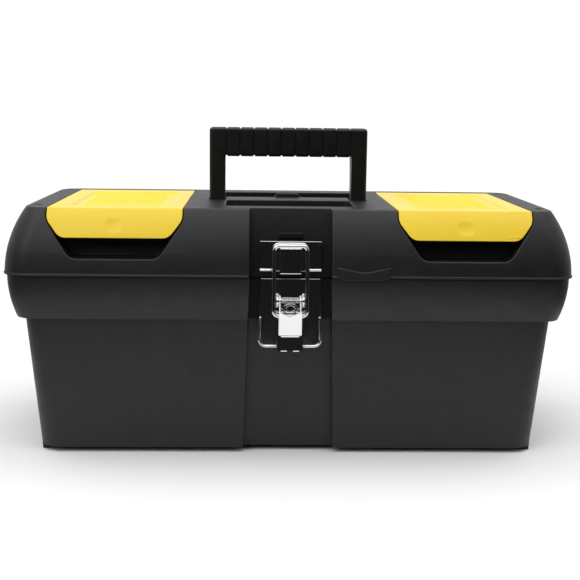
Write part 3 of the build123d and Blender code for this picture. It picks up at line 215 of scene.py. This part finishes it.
def yellow_plastic(look):
    """Plastic of the organizer lids."""
    # yellow polypropylene from a polished tool: clean colour, soft gloss, a little light within
    made = moulded_plastic(
        "yellow_polypropylene_polished", look.yellow, look.yellow_light, 0.33, 1.0, 0.015, 0.6
    )
    shader = made.node_tree.nodes["Principled BSDF"]
    shader.inputs["Subsurface Weight"].default_value = 0.08
    shader.inputs["Subsurface Radius"].default_value = (0.004, 0.003, 0.001)
    return made


def tray_plastic(look):
    """Plastic of the lift-out tray."""
    # black polypropylene from a plain tool: flat satin
    return moulded_plastic(
        "black_polypropylene_plain", look.shell, look.shell_light, 0.5, 0.9, 0.04, 0.5
    )


def chrome(look):
    """Plating of the latch's sheet and wire."""
    # bright nickel-chrome plating on pressed steel: a mirror with faint waves
    return plated_steel("chrome_plated_steel", look.chrome, 0.07, 7.0, 0.35)


def pin_steel(look):
    """Steel of pins, rivets and washers."""
    # plain drawn steel: soft grey sheen
    return plated_steel("drawn_steel", look.steel, 0.28, 3.0, 0.25)


FINISHES = {
    "shell": shell_plastic, "recess": grip_plastic_and_recess_shade, "handle": handle_plastic,
    "yellow": yellow_plastic, "tray": tray_plastic, "chrome": chrome, "steel": pin_steel,
}
MATERIALS = {}


def finish_of(name):
    """The named finish, made the first time it is asked for."""
    if name not in MATERIALS:
        MATERIALS[name] = FINISHES[name](bpy.context.scene.toolbox_finish)
    return MATERIALS[name]


# ---------------------------------------------------------------- mesh helpers
def merged_copy(node, name):
    """A copy of a CAD node's mesh as one connected surface with its flat faces whole."""
    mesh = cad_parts[node].data.copy()
    mesh.name = name
    shape = bmesh.new()
    shape.from_mesh(mesh)
    bmesh.ops.remove_doubles(shape, verts=shape.verts, dist=MERGE_WITHIN)
    bmesh.ops.dissolve_limit(
        shape, angle_limit=FLAT_WITHIN, verts=shape.verts, edges=shape.edges
    )
    shape.to_mesh(mesh)
    shape.free()
    mesh.materials.clear()
    piece = bpy.data.objects.new(name, mesh)
    bpy.context.scene.collection.objects.link(piece)
    return piece


def settle(piece):
    """Turns a piece with modifiers into a plain mesh of its own."""
    bpy.context.view_layer.update()
    graph = bpy.context.evaluated_depsgraph_get()
    mesh = bpy.data.meshes.new_from_object(piece.evaluated_get(graph))
    piece.modifiers.clear()
    piece.data = mesh
    return piece


def stand_for(piece, body, slot, *nodes):
    """Fixes a finished piece to its body and hides the CAD nodes it stands for; the slot for its finish
    is not used.
    """
    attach(piece, body)
    if nodes:
        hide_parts(*nodes)
    return piece


def smooth(piece, sharp_deg):
    """Shades a piece smooth over its curves and flat across its flats, with sharp corners kept."""
    for face in piece.data.polygons:
        face.use_smooth = True
    piece.data.set_sharp_from_angle(angle=math.radians(sharp_deg))
    weighted = piece.modifiers.new("flat faces lead", "WEIGHTED_NORMAL")
    weighted.keep_sharp = True
    weighted.weight = 100
    settle(piece)


def break_edges(piece, width, over_deg=38.0, wider=None):
    """Rounds the corners sharper than an angle; wider gives an edge's share of extra width."""
    shape = bmesh.new()
    shape.from_mesh(piece.data)
    weights = shape.edges.layers.float.new("bevel_weight_edge")
    most = 1.0 if wider is None else WIDEST
    for edge in shape.edges:
        if len(edge.link_faces) == 2 and edge.calc_face_angle() > math.radians(over_deg):
            middle = (edge.verts[0].co + edge.verts[1].co) / 2
            extra = wider(middle) if wider else 1.0
            edge[weights] = extra / most
    shape.to_mesh(piece.data)
    shape.free()
    bevel = piece.modifiers.new("broken edges", "BEVEL")
    bevel.width = width * most
    bevel.segments = 2
    bevel.limit_method = "WEIGHT"
    bevel.use_clamp_overlap = False
    settle(piece)


def refined(node, material, body, slot, rounding=0.0, sharp_deg=30.0, wider=None):
    """A CAD node's shape with its edges broken, standing in for the node."""
    piece = merged_copy(node, f"{node}_finished")
    if rounding:
        break_edges(piece, rounding, wider=wider)
        sharp_deg = max(sharp_deg, 50.0)
    smooth(piece, sharp_deg)
    piece.data.materials.append(finish_of(material))
    return stand_for(piece, body, slot, node)


def paint_recess_shade(piece, above, half):
    """Gives the panel behind the latch a darker, less reflective finish than the shell: painted shade
    for the recess.
    """
    piece.data.materials.append(finish_of("recess"))
    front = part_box("base_tub")[0].y
    for face in piece.data.polygons:
        middle = face.center
        inside = abs(middle.x) < half and middle.z > above and middle.y < front + RECESS_REACH
        if inside and face.normal.y < -0.2:
            # faces in the recess take the darker finish as painted shade
            face.material_index = 1


# ---------------------------------------------------------------- geometry node helpers
def new_tree(name, sizes):
    """A geometry node tree with named inputs; returns it, its input and its output node."""
    tree = bpy.data.node_groups.new(name, "GeometryNodeTree")
    for label, kind in sizes:
        tree.interface.new_socket(label, in_out="INPUT", socket_type=f"NodeSocket{kind}")
    tree.interface.new_socket("Geometry", in_out="OUTPUT", socket_type="NodeSocketGeometry")
    return tree, add_node(tree, "NodeGroupInput").outputs, add_node(tree, "NodeGroupOutput")


def close_tree(tree, out, geometry, given):
    """Ends a tree: instances made real, smooth shading, material."""
    real = add_node(tree, "GeometryNodeRealizeInstances", {"Geometry": geometry})
    shaded = add_node(tree, "GeometryNodeSetShadeSmooth", {"Geometry": real.outputs[0]})
    coat = add_node(tree, "GeometryNodeSetMaterial", {
        "Geometry": shaded.outputs[0], "Material": given["Material"],
    })
    tree.links.new(coat.outputs[0], out.inputs[0])


def grown(name, tree, values, sharp_deg=40.0):
    """An object made by a tree with these input values, turned into a plain mesh."""
    piece = bpy.data.objects.new(name, bpy.data.meshes.new(name))
    bpy.context.scene.collection.objects.link(piece)
    modifier = piece.modifiers.new(tree.name, "NODES")
    modifier.node_group = tree
    for item in tree.interface.items_tree:
        if item.item_type == "SOCKET" and item.in_out == "INPUT":
            modifier[item.identifier] = values[item.name]
    settle(piece)
    piece.data.set_sharp_from_angle(angle=math.radians(sharp_deg))
    return piece


# ---------------------------------------------------------------- sizes and colours a user would change
def colour_property(name, description, hex_text):
    """A colour a user can change, with its sRGB default."""
    return bpy.props.FloatVectorProperty(
        name=name, description=description, default=linear(hex_text),
        size=4, subtype="COLOR", min=0.0, max=1.0,
    )


def length_property(name, description, millimetres):
    """A length a user can change, with its default in millimetres."""
    return bpy.props.FloatProperty(
        name=name, description=description, default=millimetres * MM,
        subtype="DISTANCE", unit="LENGTH", min=0.0, precision=5,
    )


class ToolboxFinish(bpy.types.PropertyGroup):
    """Colours of the toolbox's plastics and metals."""

    shell: colour_property("Shell", "Black plastic of tub and lid", "0C0C0C")
    shell_light: colour_property("Shell mottle", "Lighter flow marks in the black", "101010")
    # the handle colours also make the darker black of the panel behind the latch, painted shade there
    handle: colour_property("Handle", "Deeper black of the carrying handle", "0B0B0B")
    handle_light: colour_property("Handle mottle", "Flow marks in the handle", "0F0F0F")
    yellow: colour_property("Yellow", "Plastic of the organizer lids", "FFD82E")
    yellow_light: colour_property("Yellow mottle", "Flow marks in the yellow", "FFDC36")
    chrome: colour_property("Chrome", "Bright plating of the latch", "E6E7E8")
    steel: colour_property("Steel", "Pins, rivets and washers", "B4B2AE")
    floor: colour_property("Floor", "Studio floor", "F4F4F4")


class ToolboxHardware(bpy.types.PropertyGroup):
    """Sizes of the latch's wire and rivets."""

    loop_bend: length_property("Loop bend", "Radius of the wire loop's corners", 3.7)
    rivet_head: length_property("Rivet head", "Height of a rivet's domed head", 1.1)
    rivet_shank: length_property("Rivet shank", "Diameter of a rivet's shank", 3.2)


class ToolboxStudio(bpy.types.PropertyGroup):
    """Camera and lights of the studio."""

    camera_place: bpy.props.FloatVectorProperty(
        name="Camera place", description="Where the camera stands",
        default=(-0.0246, -0.8779, 0.2551), subtype="TRANSLATION", unit="LENGTH",
    )
    camera_yaw: bpy.props.FloatProperty(
        name="Yaw", description="Camera turned about the upright", default=math.radians(-1.78),
        subtype="ANGLE", unit="ROTATION",
    )
    camera_pitch: bpy.props.FloatProperty(
        name="Pitch", description="Camera tilted up or down", default=math.radians(-9.51),
        subtype="ANGLE", unit="ROTATION",
    )
    camera_roll: bpy.props.FloatProperty(
        name="Roll", description="Camera turned about its own axis", default=math.radians(0.71),
        subtype="ANGLE", unit="ROTATION",
    )
    lens: bpy.props.FloatProperty(
        name="Lens", description="Focal length on a 36 mm sensor", default=69.93,
        subtype="DISTANCE_CAMERA", unit="CAMERA",
    )
    sky: bpy.props.FloatProperty(
        name="Sky", description="Brightness of the surroundings above and behind", default=0.8,
    )
    room: bpy.props.FloatProperty(
        name="Room", description="Brightness of the surroundings in front", default=0.01,
    )
    overhead: bpy.props.FloatProperty(
        name="Overhead softbox", description="Power of the large light above",
        default=15.5, subtype="POWER", unit="POWER",
    )
    front: bpy.props.FloatProperty(
        name="Front softbox", description="Power of the light beside the camera",
        default=6.0, subtype="POWER", unit="POWER",
    )


# ---------------------------------------------------------------- pieces
class TOOLBOX_OT_tub(bpy.types.Operator):
    """Finishes the black moulded tub"""

    bl_idname = "toolbox.tub"
    bl_label = "Tub"

    def execute(self, context):
        piece = refined("base_tub", "shell", "tub", "black_plastic", SHELL_EDGE)
        # the panel behind the latch gets a darker finish as painted shade
        paint_recess_shade(piece, STEP_Z, RECESS_HALF)
        return {"FINISHED"}


def lid_edge_shares():
    """Returns a rule: finger recesses and latch recess have softer edges than the rest."""
    low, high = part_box("organizer_lid_right")
    front_y = low.y + 12 * MM
    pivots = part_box("handle")

    def share(middle):
        if middle.y > front_y:
            between = abs(middle.x) < pivots[1].x + 4 * MM
            return SOFTER if between and middle.z > high.z - 0.5 * MM else 1.0
        across = low.x < abs(middle.x) < high.x
        cove = across and COVE_Z - 2 * MM < middle.z < low.z + 8 * MM
        beside_latch = abs(abs(middle.x) - RECESS_HALF) < 0.8 * MM
        return WIDEST if cove or beside_latch else 1.0

    return share


class TOOLBOX_OT_lid(bpy.types.Operator):
    """Finishes the black moulded lid"""

    bl_idname = "toolbox.lid"
    bl_label = "Lid"

    def execute(self, context):
        piece = refined(
            "lid_shell", "shell", "lid", "black_plastic", SHELL_EDGE, wider=lid_edge_shares()
        )
        # the panel behind the latch gets a darker finish as painted shade
        paint_recess_shade(piece, 0.0, RECESS_HALF)
        return {"FINISHED"}


class TOOLBOX_OT_organizer_lids(bpy.types.Operator):
    """Finishes the two yellow lids of the small-parts compartments"""

    bl_idname = "toolbox.organizer_lids"
    bl_label = "Organizer lids"

    def execute(self, context):
        for side in ("left", "right"):
            refined(
                f"organizer_lid_{side}", "yellow", f"organizer_{side}", "yellow_plastic",
                YELLOW_EDGE,
            )
        return {"FINISHED"}


class TOOLBOX_OT_handle(bpy.types.Operator):
    """Finishes the folding carrying handle"""

    bl_idname = "toolbox.handle"
    bl_label = "Carrying handle"

    def execute(self, context):
        refined("handle", "handle", "carry_handle", "handle_plastic", SHELL_EDGE)
        return {"FINISHED"}


class TOOLBOX_OT_latch(bpy.types.Operator):
    """Finishes the plated plates, lever and staple of the draw latch"""

    bl_idname = "toolbox.latch"
    bl_label = "Draw latch"

    def execute(self, context):
        refined("strike_plate", "chrome", "lid", "chrome", SHEET_EDGE)
        refined("latch_base_plate", "chrome", "tub", "chrome", SHEET_EDGE)
        refined("padlock_staple", "chrome", "tub", "chrome", SHEET_EDGE)
        refined("latch_lever", "chrome", "lever", "chrome", SHEET_EDGE)
        refined("lever_grip", "recess", "lever", "handle_plastic", GRIP_EDGE)
        return {"FINISHED"}


def wire_tree():
    """Round wire bent to a rectangle with rounded corners, upright across X and Z."""
    tree, given, out = new_tree("bent_wire_loop", [
        ("Width", "Float"), ("Height", "Float"), ("Bend radius", "Float"),
        ("Wire diameter", "Float"), ("Middle", "Vector"), ("Material", "Material"),
    ])
    outline = add_node(tree, "GeometryNodeCurvePrimitiveQuadrilateral", {
        "Width": given["Width"], "Height": given["Height"],
    })
    bent = add_node(tree, "GeometryNodeFilletCurve", {
        "Curve": outline.outputs[0], "Radius": given["Bend radius"], "Count": 14,
    }, mode="POLY")
    upright = add_node(tree, "GeometryNodeTransform", {
        "Geometry": bent.outputs[0],
        "Translation": given["Middle"],
        "Rotation": (math.radians(90), 0.0, 0.0),
    })
    half = add_node(tree, "ShaderNodeMath", {0: given["Wire diameter"], 1: 0.5},
                    operation="MULTIPLY")
    round_bar = add_node(tree, "GeometryNodeCurvePrimitiveCircle", {
        "Resolution": 28, "Radius": half.outputs[0],
    })
    wire = add_node(tree, "GeometryNodeCurveToMesh", {
        "Curve": upright.outputs[0], "Profile Curve": round_bar.outputs[0],
    })
    close_tree(tree, out, wire.outputs[0], given)
    return tree


class TOOLBOX_OT_wire_loop(bpy.types.Operator):
    """Bends the wire loop of the draw latch"""

    bl_idname = "toolbox.wire_loop"
    bl_label = "Wire loop"

    def execute(self, context):
        low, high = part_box("wire_loop")
        wire = high.y - low.y
        piece = grown("wire_loop_bent", wire_tree(), {
            "Width": high.x - low.x - wire,
            "Height": high.z - low.z - wire,
            "Bend radius": context.scene.toolbox_hardware.loop_bend,
            "Wire diameter": wire,
            "Middle": (low + high) / 2,
            "Material": finish_of("chrome"),
        })
        stand_for(piece, "loop", "chrome", "wire_loop")
        return {"FINISHED"}


def rivet_tree():
    """A row of domed rivets along Z, each with its shank, its upset tail and a plain washer."""
    tree, given, out = new_tree("riveted_row", [
        ("Count", "Int"), ("Pitch", "Float"), ("First", "Vector"), ("Grip", "Float"),
        ("Head diameter", "Float"), ("Head height", "Float"), ("Shank diameter", "Float"),
        ("Washer diameter", "Float"), ("Washer thickness", "Float"), ("Material", "Material"),
    ])

    def maths(kind, first, second):
        return add_node(tree, "ShaderNodeMath", {0: first, 1: second}, operation=kind).outputs[0]

    def lathe(geometry, along_y):
        """Turns an upright part on its side and sets it along the rivet."""
        place = add_node(tree, "ShaderNodeCombineXYZ", {"Y": along_y})
        return add_node(tree, "GeometryNodeTransform", {
            "Geometry": geometry,
            "Translation": place.outputs[0],
            "Rotation": (math.radians(90), 0.0, 0.0),
        }).outputs[0]

    # a ball pressed flat on its underside makes the dome
    radius = maths("MULTIPLY", given["Head diameter"], 0.5)
    ball = add_node(tree, "GeometryNodeMeshUVSphere", {
        "Segments": 32, "Rings": 16, "Radius": radius,
    })
    spot = add_node(tree, "ShaderNodeSeparateXYZ", {
        "Vector": add_node(tree, "GeometryNodeInputPosition").outputs[0],
    }).outputs
    squat = maths("DIVIDE", given["Head height"], radius)
    pressed = maths("MULTIPLY", maths("MAXIMUM", spot["Z"], 0.0), squat)
    dome = add_node(tree, "GeometryNodeSetPosition", {
        "Geometry": ball.outputs[0],
        "Position": add_node(tree, "ShaderNodeCombineXYZ", {
            "X": spot["X"], "Y": spot["Y"], "Z": pressed,
        }).outputs[0],
    }).outputs[0]
    tail = add_node(tree, "GeometryNodeTransform", {
        "Geometry": dome, "Rotation": (math.radians(180), 0.0, 0.0),
    }).outputs[0]
    shank = add_node(tree, "GeometryNodeMeshCylinder", {
        "Vertices": 24,
        "Radius": maths("MULTIPLY", given["Shank diameter"], 0.5),
        "Depth": given["Grip"],
    })
    ring_width = maths("SUBTRACT", given["Washer diameter"], given["Shank diameter"])
    middle_line = maths("ADD", given["Washer diameter"], given["Shank diameter"])
    ring_path = add_node(tree, "GeometryNodeCurvePrimitiveCircle", {
        "Resolution": 40, "Radius": maths("MULTIPLY", middle_line, 0.25),
    })
    ring_face = add_node(tree, "GeometryNodeCurvePrimitiveQuadrilateral", {
        "Width": maths("MULTIPLY", ring_width, 0.5), "Height": given["Washer thickness"],
    })
    ring = add_node(tree, "GeometryNodeCurveToMesh", {
        "Curve": ring_path.outputs[0], "Profile Curve": ring_face.outputs[0],
    })
    half_grip = maths("MULTIPLY", given["Grip"], 0.5)
    ring_back = maths("MULTIPLY", given["Washer thickness"], 0.5)
    one = add_node(tree, "GeometryNodeJoinGeometry")
    for part in (
        lathe(dome, maths("MULTIPLY", half_grip, -1.0)),
        lathe(shank.outputs[0], 0.0),
        lathe(tail, half_grip),
        lathe(ring.outputs[0], maths("SUBTRACT", half_grip, ring_back)),
    ):
        tree.links.new(part, one.inputs[0])
    row = add_node(tree, "GeometryNodeMeshLine", {
        "Count": given["Count"],
        "Start Location": given["First"],
        "Offset": add_node(tree, "ShaderNodeCombineXYZ", {"Z": given["Pitch"]}).outputs[0],
    })
    placed = add_node(tree, "GeometryNodeInstanceOnPoints", {
        "Points": row.outputs[0], "Instance": one.outputs[0],
    })
    close_tree(tree, out, placed.outputs[0], given)
    return tree


class TOOLBOX_OT_rivets(bpy.types.Operator):
    """Sets the domed rivets and their washers through both latch plates"""

    bl_idname = "toolbox.rivets"
    bl_label = "Rivets"

    def execute(self, context):
        sizes = context.scene.toolbox_hardware
        tree = rivet_tree()
        for name, body in (("strike", "lid"), ("latch_base", "tub")):
            low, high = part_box(f"{name}_rivets")
            head = high.x - low.x
            grip = high.y - low.y - 2 * sizes.rivet_head
            washer_low, washer_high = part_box(f"{name}_washers")
            piece = grown(f"{name}_rivets_domed", tree, {
                "Count": 2,
                "Pitch": high.z - low.z - head,
                "First": Vector((0.0, (low.y + high.y) / 2, low.z + head / 2)),
                "Grip": grip,
                "Head diameter": head,
                "Head height": sizes.rivet_head,
                "Shank diameter": sizes.rivet_shank,
                "Washer diameter": washer_high.x - washer_low.x,
                "Washer thickness": washer_high.y - washer_low.y,
                "Material": finish_of("steel"),
            })
            stand_for(piece, body, "steel", f"{name}_rivets", f"{name}_washers")
        return {"FINISHED"}


class TOOLBOX_OT_pins(bpy.types.Operator):
    """Finishes the drawn steel pins of hinges, handle and lever"""

    bl_idname = "toolbox.pins"
    bl_label = "Pins"

    def execute(self, context):
        for node, body in (
            ("lid_hinge_pin_left", "tub"), ("lid_hinge_pin_right", "tub"),
            ("latch_lever_pin", "tub"), ("handle_pin_left", "lid"), ("handle_pin_right", "lid"),
        ):
            refined(node, "steel", body, "steel")
        return {"FINISHED"}


class TOOLBOX_OT_tray(bpy.types.Operator):
    """Finishes the lift-out tray"""

    bl_idname = "toolbox.tray"
    bl_label = "Tote tray"

    def execute(self, context):
        refined("tote_tray", "tray", "tray", "tray_plastic")
        return {"FINISHED"}


def softbox(name, place, aim, width, height, power):
    """A rectangular studio light at a place, facing a point."""
    light = bpy.data.lights.new(name, "AREA")
    light.shape = "RECTANGLE"
    light.size = width
    light.size_y = height
    light.energy = power
    lamp = bpy.data.objects.new(name, light)
    lamp.location = place
    lamp.rotation_euler = (Vector(aim) - Vector(place)).to_track_quat("-Z", "Y").to_euler()
    bpy.context.scene.collection.objects.link(lamp)
    return lamp


def studio_world(studio):
    """White behind the object, bright overhead and darker round the horizon for reflections."""
    world = bpy.data.worlds.new("studio")
    world.use_nodes = True
    tree = world.node_tree
    tree.nodes.clear()
    direction = add_node(tree, "ShaderNodeTexCoord").outputs["Generated"]
    axes = add_node(tree, "ShaderNodeSeparateXYZ", {"Vector": direction}).outputs
    behind = add_node(tree, "ShaderNodeMath", {0: axes["Y"], 1: 0.5}, operation="MULTIPLY")
    lift = add_node(tree, "ShaderNodeMath", {0: behind.outputs[0], 1: axes["Z"]}, operation="ADD")
    rise = add_node(tree, "ShaderNodeMapRange", {
        "Value": lift.outputs[0],
        "From Min": -0.35,
        "From Max": 0.45,
        "To Min": studio.room,
        "To Max": studio.sky,
    }, interpolation_type="SMOOTHSTEP").outputs["Result"]
    dome = add_node(tree, "ShaderNodeBackground", {"Strength": rise})
    backdrop = add_node(tree, "ShaderNodeBackground", {
        "Color": (1.0, 1.0, 1.0, 1.0), "Strength": 1.05,
    })
    seen = add_node(tree, "ShaderNodeLightPath").outputs["Is Camera Ray"]
    both = add_node(tree, "ShaderNodeMixShader")
    tree.links.new(seen, both.inputs[0])
    tree.links.new(dome.outputs[0], both.inputs[1])
    tree.links.new(backdrop.outputs[0], both.inputs[2])
    add_node(tree, "ShaderNodeOutputWorld", {"Surface": both.outputs[0]})
    dome.inputs["Color"].default_value = (1.0, 1.0, 1.0, 1.0)
    bpy.context.scene.world = world


def studio_camera(studio):
    """The camera, by its place, its turn and its lens."""
    yaw, pitch, roll = studio.camera_yaw, studio.camera_pitch, studio.camera_roll
    ahead = Vector((
        -math.sin(yaw) * math.cos(pitch), math.cos(yaw) * math.cos(pitch), math.sin(pitch),
    ))
    right = Vector((math.cos(yaw), math.sin(yaw), 0.0))
    above = right.cross(ahead)
    turned_right = right * math.cos(roll) + above * math.sin(roll)
    turned_above = above * math.cos(roll) - right * math.sin(roll)
    lens = bpy.data.cameras.new("camera")
    lens.lens = studio.lens
    lens.sensor_width = 36.0
    lens.clip_start = 0.02
    camera = bpy.data.objects.new("camera", lens)
    turn = Matrix((turned_right, turned_above, -ahead)).transposed().to_4x4()
    camera.matrix_world = Matrix.Translation(studio.camera_place) @ turn
    bpy.context.scene.collection.objects.link(camera)
    bpy.context.scene.camera = camera


class TOOLBOX_OT_studio(bpy.types.Operator):
    """Makes the pale floor, the soft lights, the surroundings and the camera"""

    bl_idname = "toolbox.studio"
    bl_label = "Studio"

    def execute(self, context):
        studio = context.scene.toolbox_studio
        finish = context.scene.toolbox_finish
        # matt painted studio floor
        material, _, _ = new_material(
            "studio_floor_paint", 0.9, **{"Base Color": tuple(finish.floor)}
        )
        material.node_tree.nodes["Principled BSDF"].inputs["Specular IOR Level"].default_value = 0.1
        mesh = bpy.data.meshes.new("floor")
        level = cad_bounds[0].z - FLOOR_GAP
        turns = [math.tau * step / FLOOR_SIDES for step in range(FLOOR_SIDES)]
        mesh.from_pydata(
            [(FLOOR_RADIUS * math.cos(a), FLOOR_RADIUS * math.sin(a), level) for a in turns],
            [], [tuple(range(FLOOR_SIDES))],
        )
        mesh.materials.append(material)
        floor = bpy.data.objects.new("floor", mesh)
        context.scene.collection.objects.link(floor)
        middle = (cad_bounds[0] + cad_bounds[1]) / 2
        softbox("overhead", OVERHEAD_PLACE, middle, *OVERHEAD_SIZE, studio.overhead)
        softbox("front", FRONT_PLACE, middle, *FRONT_SIZE, studio.front)
        studio_world(studio)
        studio_camera(studio)
        context.scene.view_settings.view_transform = "Standard"
        return {"FINISHED"}


PIECES = (
    TOOLBOX_OT_tub, TOOLBOX_OT_lid, TOOLBOX_OT_organizer_lids, TOOLBOX_OT_handle,
    TOOLBOX_OT_latch, TOOLBOX_OT_wire_loop, TOOLBOX_OT_rivets, TOOLBOX_OT_pins,
    TOOLBOX_OT_tray, TOOLBOX_OT_studio,
)


class TOOLBOX_PT_pieces(bpy.types.Panel):
    """Lists the pieces and the studio"""

    bl_idname = "TOOLBOX_PT_pieces"
    bl_label = "Toolbox"
    bl_space_type = "VIEW_3D"
    bl_region_type = "UI"
    bl_category = "Toolbox"

    def draw(self, context):
        for operator in PIECES:
            self.layout.operator(operator.bl_idname)
        scene = context.scene
        for group in (scene.toolbox_finish, scene.toolbox_hardware, scene.toolbox_studio):
            for name in group.__annotations__:
                self.layout.prop(group, name)


CLASSES = (ToolboxFinish, ToolboxHardware, ToolboxStudio, *PIECES, TOOLBOX_PT_pieces)


def register():
    """Makes the settings, operators and panel known to Blender."""
    for item in CLASSES:
        bpy.utils.register_class(item)
    bpy.types.Scene.toolbox_finish = bpy.props.PointerProperty(type=ToolboxFinish)
    bpy.types.Scene.toolbox_hardware = bpy.props.PointerProperty(type=ToolboxHardware)
    bpy.types.Scene.toolbox_studio = bpy.props.PointerProperty(type=ToolboxStudio)


def unregister():
    """Takes the settings, operators and panel away again."""
    del bpy.types.Scene.toolbox_studio
    del bpy.types.Scene.toolbox_hardware
    del bpy.types.Scene.toolbox_finish
    for item in reversed(CLASSES):
        bpy.utils.unregister_class(item)


def main():
    """Makes every piece and the studio."""
    register()
    for operator in PIECES:
        group, name = operator.bl_idname.split(".")
        getattr(getattr(bpy.ops, group), name)()


if __name__ == "__main__":
    main()
